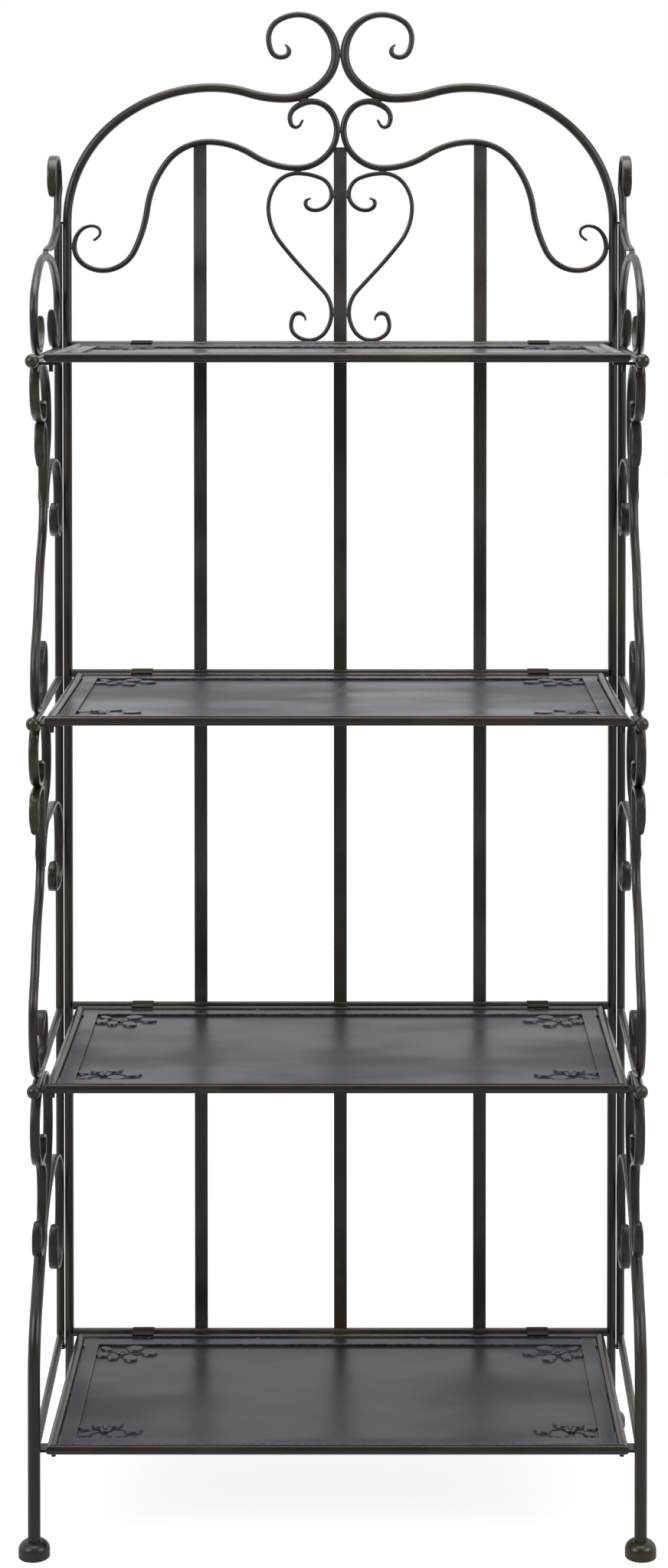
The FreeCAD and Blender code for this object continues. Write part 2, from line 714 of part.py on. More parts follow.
def upper_shapes():
    """Crown scroll on the top side rail and the top scroll that leans on it."""
    scroll_r = size("scroll_rod_dia") / 2
    crown = scroll_nodes(CROWN_SHARES, REACH, size("crown_height"), SIDE_RAIL_Z[0])
    for base in ("fore_base", "aft_base"):
        crown[base] = moved(crown[base], up=SIDE_RAIL_Z[0] + SIDE_RAIL_R + scroll_r + GAP)
    crown["top"] = moved(crown["top"], up=SIDE_RAIL_Z[0] + size("crown_height") - scroll_r)
    crown["post"] = moved(crown["post"], across=SIDE_POST_R + scroll_r + GAP)
    crown_stretches = [
        strap(stretch(crown, "tip", "fore_base")),
        rod(stretch(crown, "fore_base", "aft_base"), scroll_r),
        strap(stretch(crown, "aft_base", "end")),
    ]
    top_base = SIDE_RAIL_Z[0] + size("crown_height")
    top = scroll_nodes(TOP_SCROLL_SHARES, REACH, size("top_scroll_height"), top_base)
    top["start"] = moved(top["start"], crown["top"][0], top_base + size("scroll_foot_dia") / 2 + GAP)
    top_stretches = [
        tapered(stretch(top, "start", "lean"), "scroll_foot_dia", "scroll_rod_dia"),
        rod(stretch(top, "lean", "back"), scroll_r),
        strap(stretch(top, "back", "end")),
    ]
    return crown_stretches, top_stretches


bays = [bay_shapes(0), bay_shapes(1)]
long_leg, toe_scroll, low_curl = low_shapes()
crown_scroll, top_scroll = upper_shapes()

# Where a shelf peg stands in the side frame: forward from the side post, and inward
peg_in, peg_back = SIDE_POST_X - TUBE_X, BACK_Y - TUBE_FRONT_Y - size("tab_setback")
toe_sin, toe_cos = size("toe_in") / REACH, size("frame_depth") / REACH
PEG_FORWARD = peg_in * toe_sin + peg_back * toe_cos
PEG_INWARD = peg_in * toe_cos - peg_back * toe_sin


def strap_group(label, shapes, placement):
    """Several straps of one side frame as one sub-part."""
    pieces = []
    for number, shape in enumerate(shapes, start=1):
        piece = doc.addObject("Part::Feature", f"{label}_{number}")
        piece.Shape = shape
        pieces.append(piece)
    return group(label, pieces, placement)


def shelf_tab(name, level, inward):
    """Ear on the side rail under the shelf's side tube, notched for the peg."""
    top = level - TUBE_R - size("seat_gap")
    below = level - size("side_rail_drop") - top
    start = math.sqrt(SIDE_RAIL_R ** 2 - below ** 2) + GAP
    end = PEG_INWARD + size("tab_lip")
    notch_r = size("peg_dia") / 2 + size("notch_gap")
    base = top - size("tab_thickness")
    plate = doc.addObject("Part::Box", f"{name}_plate")
    plate.setExpression("Length", "Sizes.tab_width")
    plate.Width = end - start
    plate.setExpression("Height", "Sizes.tab_thickness")
    plate_y = start if inward > 0 else -end
    plate.Placement = Placement(Vector(PEG_FORWARD - size("tab_width") / 2, plate_y, base), Rotation())
    eye = cylinder(
        f"{name}_eye",
        "Sizes.peg_dia / 2 + Sizes.notch_gap",
        "Sizes.tab_thickness",
        Vector(PEG_FORWARD, inward * PEG_INWARD, base),
    )
    slot_y = PEG_INWARD if inward > 0 else -PEG_INWARD - size("tab_lip")
    slot = box(
        f"{name}_slot",
        "Sizes.peg_dia + 2 * Sizes.notch_gap",
        "Sizes.tab_lip",
        "Sizes.tab_thickness",
        Vector(PEG_FORWARD - notch_r, slot_y, base),
    )
    return cut(name, plate, fused(f"{name}_notch", [eye, slot]))


def side_frame(side, out):
    """Everything that swings with one side post; out is the sign of X on that side."""
    turn = Rotation(Vector(0, 0, 1), -90 - out * TOE_ANGLE)
    plane = Placement(Vector(out * SIDE_POST_X, BACK_Y, 0), turn)
    inward = -out

    start = size("side_post_start")
    post = cylinder(
        f"post_{side}",
        "Sizes.side_post_dia / 2",
        "Sizes.shelf_level_1 + Sizes.side_post_rise - Sizes.side_post_start",
        Vector(0, 0, start),
    )
    bores = []
    for end, level in (("low", start), ("top", SIDE_POST_TOP - size("pivot_bore_depth"))):
        bores.append(
            cylinder(
                f"bore_{end}_{side}", "Sizes.pivot_bore_dia / 2", "Sizes.pivot_bore_depth", Vector(0, 0, level)
            )
        )
    finish(f"side_post_{side}", cut(f"side_post_{side}", post, fused(f"bores_{side}", bores)), plane)

    ball_forward = REACH - size("ball_setback")
    socket = size("ball_dia") / 2 - size("ball_socket")
    rails, balls, tabs = [], [], []
    for number, level in enumerate(SIDE_RAIL_Z, start=1):
        rail_start = SIDE_POST_R + GAP
        rail_end = ball_forward - socket - GAP if number < 4 else REACH - LONG_LEG_R - GAP
        rail = doc.addObject("Part::Cylinder", f"side_rail_{number}_{side}")
        rail.setExpression("Radius", "Sizes.side_rail_dia / 2")
        rail.Height = rail_end - rail_start
        rail.Placement = Placement(Vector(rail_start, 0, level), FORWARD)
        rails.append(rail)
        tabs.append(shelf_tab(f"shelf_tab_{number}_{side}", LEVELS[number - 1], inward))
        if number == 4:
            continue
        ball = doc.addObject("Part::Sphere", f"ball_{number}_{side}")
        ball.setExpression("Radius", "Sizes.ball_dia / 2")
        ball.Placement = Placement(Vector(ball_forward, 0, level), Rotation())
        hole = cylinder(
            f"ball_hole_{number}_{side}",
            "Sizes.side_rail_dia / 2 + Sizes.weld_gap",
            "Sizes.ball_socket",
            Vector(ball_forward - size("ball_dia") / 2, 0, level),
            FORWARD,
        )
        balls.append(cut(f"ball_finial_{number}_{side}", ball, hole))
    group(f"side_rails_{side}", rails, plane)
    group(f"ball_finials_{side}", balls, plane)
    group(f"shelf_tabs_{side}", tabs, plane)

    welded(f"top_scroll_{side}", top_scroll, plane)
    welded(f"crown_scroll_{side}", crown_scroll, plane)
    strap_group(f"crooks_{side}", [bays[0][0], bays[1][0]], plane)
    welded(f"leg_1_{side}", bays[0][1], plane)
    welded(f"leg_2_{side}", bays[1][1], plane)
    welded(f"leg_3_{side}", long_leg, plane)
    strap_group(f"rear_curls_{side}", [bays[0][2], bays[1][2], low_curl], plane)
    welded(f"toe_scroll_{side}", [toe_scroll], plane)
    turned_foot(f"front_foot_{side}", Vector(out * (SIDE_POST_X - size("toe_in")), FRONT_Y, 0))


side_frame("left", -1)
side_frame("right", 1)


# Shelves
def shelf_frame(number, level):
    """Round tube bent to a rectangle with mitred corners."""
    path = doc.addObject("Sketcher::SketchObject", f"shelf_path_{number}")
    middle_rectangle(path, TUBE_WIDTH, TUBE_DEPTH)
    section = doc.addObject("Part::Circle", f"shelf_section_{number}")
    section.setExpression("Radius", "Sizes.shelf_tube_dia / 2")
    section.Placement = Placement(Vector(0, TUBE_FRONT_Y - TUBE_MID_Y, 0), ACROSS)
    tube = doc.addObject("Part::Sweep", f"shelf_frame_{number}")
    tube.Sections = [section]
    tube.Spine = (path, ["Edge1", "Edge2", "Edge3", "Edge4"])
    tube.Solid = True
    tube.Transition = "Right corner"
    finish(f"shelf_frame_{number}", tube, Placement(Vector(0, TUBE_MID_Y, level), Rotation()))


def shelf_panel(number, level):
    """Sheet inside the tube, framed by four flat strips; its tray rises a weld gap between them."""
    width = f"({TUBE_WIDTH} - Sizes.shelf_tube_dia - 2 * Sizes.weld_gap)"
    depth = f"({TUBE_DEPTH} - Sizes.shelf_tube_dia - 2 * Sizes.weld_gap)"
    inside = "2 * Sizes.border_width - 2 * Sizes.weld_gap"
    tray_width, tray_depth = f"({width} - {inside})", f"({depth} - {inside})"
    half_x, half_y = TUBE_X - TUBE_R - GAP, (TUBE_REAR_Y - TUBE_FRONT_Y) / 2 - TUBE_R - GAP
    slit, border, inset = size("slit_width"), size("border_width"), size("slit_inset")
    top = size("sheet_rise") - size("recess_depth")
    floor = top - size("sheet_thickness")
    strip, thick = "(Sizes.border_width - Sizes.slit_width)", "Sizes.recess_depth"

    plate_thick = "(Sizes.sheet_thickness - Sizes.weld_gap)"
    plate = box(f"sheet_{number}_plate", width, depth, plate_thick, Vector(-half_x, -half_y, floor))
    corner = Vector(border + GAP - half_x, border + GAP - half_y, floor)
    tray = box(f"sheet_{number}_tray", tray_width, tray_depth, "Sizes.sheet_thickness", corner)
    pieces = [fused(f"sheet_{number}", [plate, tray])]
    for side, edge, lug in (("left", slit - half_x, -half_x), ("right", half_x - border, half_x - slit)):
        name = f"strip_{number}_{side}"
        bars = [box(f"{name}_bar", strip, depth, thick, Vector(edge, -half_y, top))]
        for end, start in (("front", -half_y), ("rear", half_y - inset)):
            place = Vector(lug, start, top)
            bars.append(box(f"{name}_{end}", "Sizes.slit_width", "Sizes.slit_inset", thick, place))
        pieces.append(fused(name, bars))
    for end, edge in (("front", slit - half_y), ("rear", half_y - border)):
        place = Vector(border + GAP - half_x, edge, top)
        pieces.append(box(f"strip_{number}_{end}", tray_width, strip, thick, place))
    group(f"shelf_panel_{number}", pieces, Placement(Vector(0, TUBE_MID_Y, level), Rotation()))


def shelf_hinges(number, level):
    """Two sleeves round the back rail, each with a tongue welded on top of the rear tube."""
    sleeves = []
    tongue_z = TUBE_R + GAP - size("rail_rise")
    for side, middle in (("left", -size("hinge_spacing") / 2), ("right", size("hinge_spacing") / 2)):
        name = f"hinge_{number}_{side}"
        start = middle - size("hinge_width") / 2
        sleeve = cylinder(
            f"{name}_sleeve",
            "Sizes.hinge_bore_dia / 2 + Sizes.hinge_wall",
            "Sizes.hinge_width",
            Vector(start, 0, 0),
            FORWARD,
        )
        tongue = box(
            f"{name}_tongue",
            "Sizes.hinge_width",
            "Sizes.hinge_reach",
            "Sizes.hinge_wall",
            Vector(start, -size("hinge_reach"), tongue_z),
        )
        bore = cylinder(
            f"{name}_bore", "Sizes.hinge_bore_dia / 2", "Sizes.hinge_width", Vector(start, 0, 0), FORWARD
        )
        sleeves.append(cut(name, fused(f"{name}_blank", [sleeve, tongue]), bore))
    place = Vector(0, RAIL_Y, level + size("rail_rise"))
    group(f"shelf_hinges_{number}", sleeves, Placement(place, Rotation()))


def shelf_pegs(number, level):
    """Pegs under the side tubes, in the notches of the ears."""
    pegs = []
    base = -TUBE_R - GAP - size("peg_length")
    for side, middle in (("left", -TUBE_X), ("right", TUBE_X)):
        place = Vector(middle, 0, base)
        pegs.append(cylinder(f"peg_{number}_{side}", "Sizes.peg_dia / 2", "Sizes.peg_length", place))
    place = Vector(0, TUBE_FRONT_Y + size("tab_setback"), level)
    group(f"shelf_pegs_{number}", pegs, Placement(place, Rotation()))


for number, level in enumerate(LEVELS, start=1):
    shelf_frame(number, level)
    shelf_panel(number, level)
    shelf_hinges(number, level)
    shelf_pegs(number, level)

doc.recompute()

# Every object is sound before anything is written
for item in doc.Objects:
    if "Invalid" in item.State or "Error" in item.State:
        raise RuntimeError(f"{item.Name} did not recompute")
for piece in nodes:
    if piece.Shape.isNull() or not piece.Shape.isValid():
        raise RuntimeError(f"{piece.Label} has no valid shape")

os.makedirs("parts", exist_ok=True)
for piece in nodes:
    piece.Shape.exportStep(f"parts/{piece.Label}.step")
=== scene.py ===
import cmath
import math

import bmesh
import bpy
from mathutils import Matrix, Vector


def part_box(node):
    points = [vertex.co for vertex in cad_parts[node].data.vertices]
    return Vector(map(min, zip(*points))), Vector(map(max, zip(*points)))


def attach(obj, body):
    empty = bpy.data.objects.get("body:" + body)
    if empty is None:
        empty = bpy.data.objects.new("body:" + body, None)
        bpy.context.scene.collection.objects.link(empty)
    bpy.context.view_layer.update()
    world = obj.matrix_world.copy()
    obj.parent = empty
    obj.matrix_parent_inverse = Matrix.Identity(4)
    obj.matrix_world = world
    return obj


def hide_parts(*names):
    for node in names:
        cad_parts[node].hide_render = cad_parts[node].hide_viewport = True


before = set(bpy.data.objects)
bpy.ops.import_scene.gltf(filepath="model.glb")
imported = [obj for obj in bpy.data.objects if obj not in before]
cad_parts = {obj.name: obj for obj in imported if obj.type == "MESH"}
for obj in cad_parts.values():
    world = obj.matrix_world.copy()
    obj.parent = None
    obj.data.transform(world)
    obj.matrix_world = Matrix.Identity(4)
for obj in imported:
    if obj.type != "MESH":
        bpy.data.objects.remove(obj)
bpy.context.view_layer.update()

# %% [markdown]
# # A forged bakers rack
# The rack is a scrolled back frame, two side frames of bent bars, and four shelves of pressed sheet
# in a round tube. The solids that were just loaded fix every place and size. What Blender adds is
# what a smith's hammer and a press leave behind: bars that swell and flatten, soft edges, weld
# beads, leaves in the shelf corners, and a dark finish that is rubbed through where hands go. The
# pale narrow edges are partly that wear and partly a painted highlight.

MM = 0.001
SIDES = (("left", -1), ("right", 1))
SHELVES = (1, 2, 3, 4)


def box_mm(node):
    """Lowest and highest corner of a solid, in millimetres."""
    low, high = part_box(node)
    return low / MM, high / MM


# %% [markdown]
# ## Measures from the frame
# A copy of a number goes stale, so posts, rails and shelf levels are read from the solids. What
# the box of a solid can't tell is written down here, in millimetres: the radii of the rods, the
# flat strap, the heights of the two upper scrolls, and the groove, border and thickness of a sheet.

# %% Places and stock
POST_LOW, POST_HIGH = box_mm("back_post_right")
POST_R = (POST_HIGH.y - POST_LOW.y) / 2
POST_X = POST_HIGH.x - POST_R
BACK_Y = (POST_HIGH.y + POST_LOW.y) / 2
POST_FOOT = POST_LOW.z
TUBE_BOXES = [box_mm(f"shelf_frame_{number}") for number in SHELVES]
LEVELS = [(low.z + high.z) / 2 for low, high in TUBE_BOXES]
SIDE_POST_LOW, SIDE_POST_HIGH = box_mm("side_post_right")
SIDE_POST_R = (SIDE_POST_HIGH.x - SIDE_POST_LOW.x) / 2
SIDE_POST_X = (SIDE_POST_HIGH.x + SIDE_POST_LOW.x) / 2
FOOT_LOW, FOOT_HIGH = box_mm("front_foot_right")
TOE_IN = SIDE_POST_X - (FOOT_LOW.x + FOOT_HIGH.x) / 2
DEPTH = BACK_Y - (FOOT_LOW.y + FOOT_HIGH.y) / 2
REACH = math.hypot(DEPTH, TOE_IN)
CREST_R = 3.6
ARCH_HEIGHT = POST_HIGH.z - CREST_R - LEVELS[0]
SIDE_RAIL_R = 4.75
RAIL_DROP = LEVELS[0] + SIDE_RAIL_R - box_mm("side_rails_right")[1].z
SIDE_RAIL_Z = [level - RAIL_DROP for level in LEVELS]
GAP = 0.1

CREST_CURL_R, CREST_TIP_R = 3.0, 1.1
INNER_R, INNER_LOW_R, INNER_TIP_R = 3.9, 3.1, 1.6
HEART_R, HEART_TIP_R = 2.6, 1.1
SCROLL_R = 4.75
LEG_R = 5.25
LONG_LEG_R = 7.0
STRAP_R = 2.0
STRAP_HALF = 5.75
SCROLL_FOOT_R = 2.5
CROWN_HEIGHT = 120.4
TOP_SCROLL_HEIGHT = 120.4
SLAT_HALF = 8.0
SLIT, BORDER, LUG, SHEET_THICK = 2.2, 19.0, 24.0, 1.5
print(f"posts {2 * POST_X:.1f} mm apart, arch {ARCH_HEIGHT:.1f} mm, reach {REACH:.1f} mm")

# %% [markdown]
# ## The lines of the scrolls
# A scroll is a bar bent round a few pegs. Each row names a peg: how far out and how high it stands,
# as shares of the frame, and the heading of the bar there in degrees. A share or heading of None is
# set by the piece that the bar touches.

# %% Back frame: shares of half the post spacing and of the arch above the top shelf
ARCH_SHARES = {
    "spring": (1.0, 0.375, 90),
    "hump": (0.468, 0.781, 180),
    "dip": (0.204, 0.7485, 180),
    "kiss": (0.139, 0.7575, 161),
    "centre": (None, 0.883, 90),
    "crest": (0.152, 1.0, 0),
    "outer": (0.262, 0.929, 270),
    "base": (0.217, 0.872, 180),
    "inner": (0.187, 0.890, 90),
    "tip": (0.203, 0.910, 30),
}
INNER_SHARES = {
    "tip": (0.136, 0.685, 300),
    "base": (0.162, 0.662, 0),
    "outer": (0.184, 0.690, 90),
    "kiss": (None, None, 161),
    "centre": (None, 0.655, 270),
    "dip": (0.157, 0.5395, 0),
    "hump": (0.483, 0.6178, 0),
    "flank": (0.706, 0.4185, 278),
    "low": (0.870, 0.2315, 0),
    "post": (None, 0.304, 90),
    "curl": (0.909, 0.3655, 180),
    "turn": (0.879, 0.3465, 270),
    "end": (0.905, 0.322, 335),
}
HEART_SHARES = {
    "tip": (0.106, 0.4475, 0),
    "turn": (0.127, 0.434, 270),
    "base": (0.0925, 0.4125, 180),
    "slat": (None, 0.4603, 90),
    "top": (0.157, None, 0),
    "outer": (0.263, 0.421, 270),
    "flank": (0.125, 0.2253, 227),
    "foot": (None, 0.105, 270),
    "low": (0.113, 0.0218, 0),
    "curl": (0.180, 0.066, 90),
    "over": (0.152, 0.103, 180),
    "end": (0.1285, 0.080, 280),
}

# %% Side frames: shares of the reach to the leg and of the bay between two rails
CROOK_SHARES = (
    {
        "tip": (0.715, 0.875, 180),
        "inner": (0.640, 0.850, 270),
        "pinch": (0.690, 0.824, 0),
        "front": (0.900, 0.930, 90),
        "top": (0.715, None, 180),
        "rear": (0.465, 0.815, 270),
        "tail": (None, 0.640, 290),
    },
    {
        "tip": (0.790, 0.868, 180),
        "inner": (0.735, 0.842, 270),
        "pinch": (0.805, 0.812, 0),
        "front": (0.960, 0.915, 90),
        "top": (0.760, None, 180),
        "rear": (0.500, 0.845, 270),
        "tail": (None, 0.640, 290),
    },
)
LEG_SHARES = (
    {
        "blunt": (0.708, 0.690, 93),
        "front": (0.735, 0.762, 90),
        "crest": (None, None, 180),
        "rear": (0.605, 0.740, 270),
        "step": (0.590, 0.600, 270),
        "shin": (0.775, 0.330, 291),
        "toe": (0.915, 0.105, 270),
        "sole": (0.832, None, 180),
        "heel": (0.615, 0.110, 90),
        "curl": (0.680, 0.190, 0),
        "end": (0.735, 0.130, 285),
    },
    {
        "blunt": (0.925, 0.690, 92),
        "front": (0.945, 0.755, 90),
        "crest": (None, None, 180),
        "rear": (0.735, 0.730, 270),
        "step": (0.725, 0.600, 270),
        "shin": (0.900, 0.360, 291),
        "toe": (1.000, 0.190, 270),
        "sole": (0.852, None, 180),
        "heel": (0.640, 0.085, 90),
        "curl": (0.705, 0.155, 0),
        "end": (0.760, 0.100, 285),
    },
)
CURL_SHARES = (
    {
        "start": (None, 0.555, 92),
        "top": (0.300, 0.684, 180),
        "post": (None, 0.545, 270),
        "base": (0.110, 0.448, 0),
        "front": (0.205, 0.505, 90),
        "tip": (0.165, 0.545, 180),
    },
    {
        "start": (None, 0.555, 92),
        "top": (0.300, 0.668, 180),
        "post": (None, 0.515, 270),
        "base": (0.150, 0.405, 0),
        "front": (0.290, 0.455, 90),
        "tip": (0.240, 0.490, 180),
    },
)
LONG_LEG_SHARES = {
    "tip": (0.755, 0.815, 180),
    "inner": (0.705, 0.790, 270),
    "pinch": (0.800, 0.758, 0),
    "front": (0.945, 0.880, 90),
    "top": (0.745, None, 180),
    "rear": (0.475, 0.800, 270),
    "knee": (0.735, 0.522, 315),
    "drop": (1.0, 0.200, 270),
    "foot": (1.0, None, 270),
}
TOE_SCROLL_SHARES = {
    "start": (None, None, 180),
    "rear": (0.700, 0.640, 270),
    "seat": (None, None, None),
    "front": (0.885, 0.550, 90),
    "tip": (0.850, 0.603, 180),
}
LOW_CURL_SHARES = {
    "start": (None, None, None),
    "top": (0.300, 0.620, 180),
    "post": (None, 0.440, 270),
    "base": (0.150, 0.270, 0),
    "front": (0.290, 0.345, 90),
    "tip": (0.240, 0.412, 180),
}
# above the top rail: shares of the reach and of each scroll's own height
CROWN_SHARES = {
    "tip": (0.690, 0.402, 270),
    "fore_base": (0.805, None, 0),
    "front": (0.915, 0.448, 90),
    "fore": (0.785, 0.805, 155),
    "top": (0.490, None, 180),
    "aft": (0.155, 0.805, 204),
    "post": (None, 0.432, 270),
    "aft_base": (0.150, None, 0),
    "end": (0.270, 0.438, 90),
}
TOP_SCROLL_SHARES = {
    "start": (None, None, 174),
    "lean": (0.215, 0.100, 165),
    "rise": (0.025, 0.400, 112),
    "back": (0.012, 0.640, 88),
    "top": (0.133, 0.960, 0),
    "front": (0.250, 0.750, 270),
    "end": (0.220, 0.560, 215),
}

# %% [markdown]
# ## From pegs to a bent line
# Between two pegs a bar takes two arcs that share a tangent. In the plane of a scroll a point is
# one complex number, forward plus height times i, and a heading is a complex number of length 1,
# so turning is multiplying. Points come closer together where the bend is tight.

# %% Pegs of one scroll
def scroll_pegs(shares, width, height, base):
    """Pegs as (forward, height, heading) in millimetres and degrees; open shares stay None."""
    pegs = {}
    for name, (across, up, angle) in shares.items():
        forward = None if across is None else across * width
        pegs[name] = (forward, None if up is None else base + up * height, angle)
    return pegs


def touch(pegs, name, forward=None, up=None, angle=None):
    """Set a peg's open shares by the piece that the bar touches there."""
    contact = (forward, up, angle)
    pegs[name] = tuple(old if new is None else new for old, new in zip(pegs[name], contact))


def beside(peg, distance, side):
    """A place square to the bar, on its left (1) or right (-1)."""
    spot = complex(peg[0], peg[1]) + cmath.rect(distance, math.radians(peg[2] + side * 90))
    return spot.real, spot.imag


# %% Points along the arcs
STRAIGHT_STEP = 12.0
TURN_STEP = math.radians(5.0)
LONGEST_STEP = 5.0
TINY = 1e-6


def arc_line(start, leave, end):
    """Places, headings and steps of an arc that leaves along a heading, and its last heading."""
    chord = end - start
    half = cmath.phase(chord / leave)
    straight = abs(half) < TINY
    length = abs(chord) if straight else abs(chord) * half / math.sin(half)
    step = STRAIGHT_STEP if straight else min(LONGEST_STEP, abs(length / (2 * half)) * TURN_STEP)
    count = max(2, math.ceil(length / step))
    line = []
    for number in range(count):
        turn = 2 * half * number / count
        if straight:
            spot = start + chord * number / count
        else:
            reach = abs(chord) * math.sin(turn / 2) / math.sin(half)
            spot = start + leave * cmath.rect(reach, turn / 2)
        line.append((spot, leave * cmath.rect(1, turn), length / count))
    return line, leave * cmath.rect(1, 2 * half)


def bent_line(pegs):
    """Points as (place, heading, distance along), and where each peg lies along the line."""
    names = list(pegs)
    line, along, at = [], 0.0, {names[0]: 0.0}
    for first, second in zip(names, names[1:]):
        start, end = complex(*pegs[first][:2]), complex(*pegs[second][:2])
        leave = cmath.rect(1, math.radians(pegs[first][2]))
        arrive = cmath.rect(1, math.radians(pegs[second][2]))
        chord = end - start
        both = (chord.conjugate() * (leave + arrive)).real
        spread = 2 * (1 - (leave.conjugate() * arrive).real)
        if spread < TINY:
            handle = abs(chord) ** 2 / (4 * (chord.conjugate() * arrive).real)
        else:
            handle = (math.sqrt(both ** 2 + spread * abs(chord) ** 2) - both) / spread
        joint = (start + end + (leave - arrive) * handle) / 2
        near, turn = arc_line(start, leave, joint)
        far, turn = arc_line(joint, turn, end)
        for spot, head, step in near + far:
            line.append((spot, head, along))
            along += step
        at[second] = along
    last = pegs[names[-1]]
    line.append((complex(*last[:2]), cmath.rect(1, math.radians(last[2])), along))
    return line, at


# %% [markdown]
# ## Forging: how the section changes along the bar
# The smith leaves the middle of a bar round and hammers its ends flat, or draws them out thin. A
# stock list says which section a bar has from a peg onwards; a drawn bar changes all the way from
# the peg before. Where round meets flat the metal swells a little, and a free end is ground to a
# rounded nose. All that becomes numbers on the points of the line: half the thickness, half the
# width and how square the section is.

# %% Sections along a bar
BLEND = 11.0
DRAWN = None
SWELL = 0.16
SWELL_REACH_SHARE, SWELL_THICK_SHARE = 0.55, 0.6
NOSE_STEPS = (0.03, 0.1, 0.22, 0.4, 0.65)
NOSE_LEAST, NOSE_BLUNT_SHARE = 0.12, 0.9
CLOSEST_POINTS = 0.05


def round_bar(radius):
    return (radius, radius, 0.0)


STRAP = (STRAP_R, STRAP_HALF, 1.0)
TIP_THICK_SHARE, TIP_WIDE_SHARE = 0.6, 0.3
STRAP_TIP = (STRAP_R * TIP_THICK_SHARE, STRAP_HALF * TIP_WIDE_SHARE, 1.0)
TIP_BLEND = 20.0


def ease(value):
    value = min(1.0, max(0.0, value))
    return value * value * (3 - 2 * value)


def section_at(along, stock):
    """Section at a distance along the bar; stock rows are (distance, section, blend)."""
    section = stock[0][1]
    swell = 0.0
    for (place, after, blend), before in zip(stock[1:], stock):
        share = ease((along - place + blend) / (2 * blend))
        section = tuple(a + (b - a) * share for a, b in zip(section, after))
        if before[1][2] != after[2]:
            swell += SWELL * math.exp(-((along - place) / (blend * SWELL_REACH_SHARE)) ** 2)
    thick, wide, flat = section
    return thick * (1 + swell * SWELL_THICK_SHARE), wide * (1 + swell), flat


def stock_rows(stock, at):
    """Rows of distance, section and half the length of the change, from rows that name pegs."""
    rows = []
    for number, (name, section, *rest) in enumerate(stock):
        place, blend = at[name], rest[0] if rest else BLEND
        if blend is DRAWN:
            start = at[stock[number - 1][0]]
            place, blend = (place + start) / 2, (place - start) / 2
        rows.append((place, section, blend))
    return rows


def nose(distance, half):
    """Share of a section that is left near a ground end."""
    near = min(1.0, distance / half)
    return max(NOSE_LEAST, math.sqrt(max(0.0, 1 - (1 - near) ** 2)))


def with_nose_points(line, ends):
    """Extra points where the ends are ground round."""
    first, last = line[0], line[-1]
    extra = []
    for share in NOSE_STEPS:
        for end, (spot, head, along), way in zip(ends, (first, last), (1, -1)):
            if end == "round":
                reach = way * share * STRAP_HALF
                extra.append((spot + head * reach, head, along + reach))
    kept = [p for p in line if all(abs(p[2] - e[2]) > CLOSEST_POINTS for e in extra)]
    return sorted(kept + extra, key=lambda p: p[2])


def forged_line(pegs, stock, ends=("round", "round")):
    """Points of a bar with their sections; stock names the peg from which each section runs."""
    line, at = bent_line(pegs)
    rows, total = stock_rows(stock, at), line[-1][2]
    points = []
    for spot, head, along in with_nose_points(line, ends):
        thick, wide, flat = section_at(along, rows)
        for end, distance in zip(ends, (along, total - along)):
            if end == "round":
                thick *= nose(distance, thick * NOSE_BLUNT_SHARE)
                wide *= nose(distance, wide)
        points.append((spot, head, thick, wide, flat))
    return points


# %% [markdown]
# ## A node tree that sweeps a forged bar
# Blender's own curve bevel scales a section evenly, so it can't flatten it. This Geometry Nodes
# tree sweeps a unit circle for its faces only, and then puts each point where the line, its side
# and its width say. It also roughens the bar a little, and stores how near a point is to a narrow
# edge, which the finish paints pale: partly rubbed wear, partly a painted highlight.

# %% Helpers for node trees
def feed(tree, socket, value):
    """An output socket becomes a link, and anything else the socket's own value."""
    if isinstance(value, bpy.types.NodeSocket):
        tree.links.new(value, socket)
    else:
        socket.default_value = value


def add_node(tree, kind, inputs=None, **settings):
    """A node with its settings and the values or links of its inputs."""
    node = tree.nodes.new(kind)
    for name, value in settings.items():
        setattr(node, name, value)
    for key, value in (inputs or {}).items():
        feed(tree, node.inputs[key], value)
    return node


def group_input(tree, name, kind, default=None):
    socket = tree.interface.new_socket(name=name, in_out="INPUT", socket_type=kind)
    if default is not None:
        socket.default_value = default
    return socket.identifier


def new_tree(name, **inputs):
    """A tree with geometry in and out; returns it, the keys of its inputs and their sockets."""
    tree = bpy.data.node_groups.new(name, "GeometryNodeTree")
    tree.is_modifier = True
    group_input(tree, "Geometry", "NodeSocketGeometry")
    keys = {key: group_input(tree, key, *kind) for key, kind in inputs.items()}
    tree.interface.new_socket(name="Geometry", in_out="OUTPUT", socket_type="NodeSocketGeometry")
    return tree, keys, tree.nodes.new("NodeGroupInput").outputs


def finished(tree, geometry, finish):
    """Ends a tree with real geometry, its material and its output."""
    real = add_node(tree, "GeometryNodeRealizeInstances", {"Geometry": geometry}).outputs[0]
    inputs = {"Geometry": real, "Material": finish}
    dressed = add_node(tree, "GeometryNodeSetMaterial", inputs).outputs["Geometry"]
    tree.links.new(dressed, tree.nodes.new("NodeGroupOutput").inputs["Geometry"])


# %% Sums, attributes and noise in node trees
def maths(tree, operation, *values):
    node = add_node(tree, "ShaderNodeMath", dict(enumerate(values)), operation=operation)
    return node.outputs[0]


def vectors(tree, operation, *values):
    node = add_node(tree, "ShaderNodeVectorMath", operation=operation)
    for socket, value in zip([s for s in node.inputs if s.enabled], values):
        feed(tree, socket, value)
    return node.outputs["Vector"]


def named(tree, name, kind="FLOAT"):
    node = add_node(tree, "GeometryNodeInputNamedAttribute", {"Name": name}, data_type=kind)
    return node.outputs["Attribute"]


def store(tree, geometry, name, value, kind="FLOAT"):
    inputs = {"Geometry": geometry, "Name": name, "Value": value}
    settings = {"data_type": kind, "domain": "POINT"}
    return add_node(tree, "GeometryNodeStoreNamedAttribute", inputs, **settings).outputs["Geometry"]


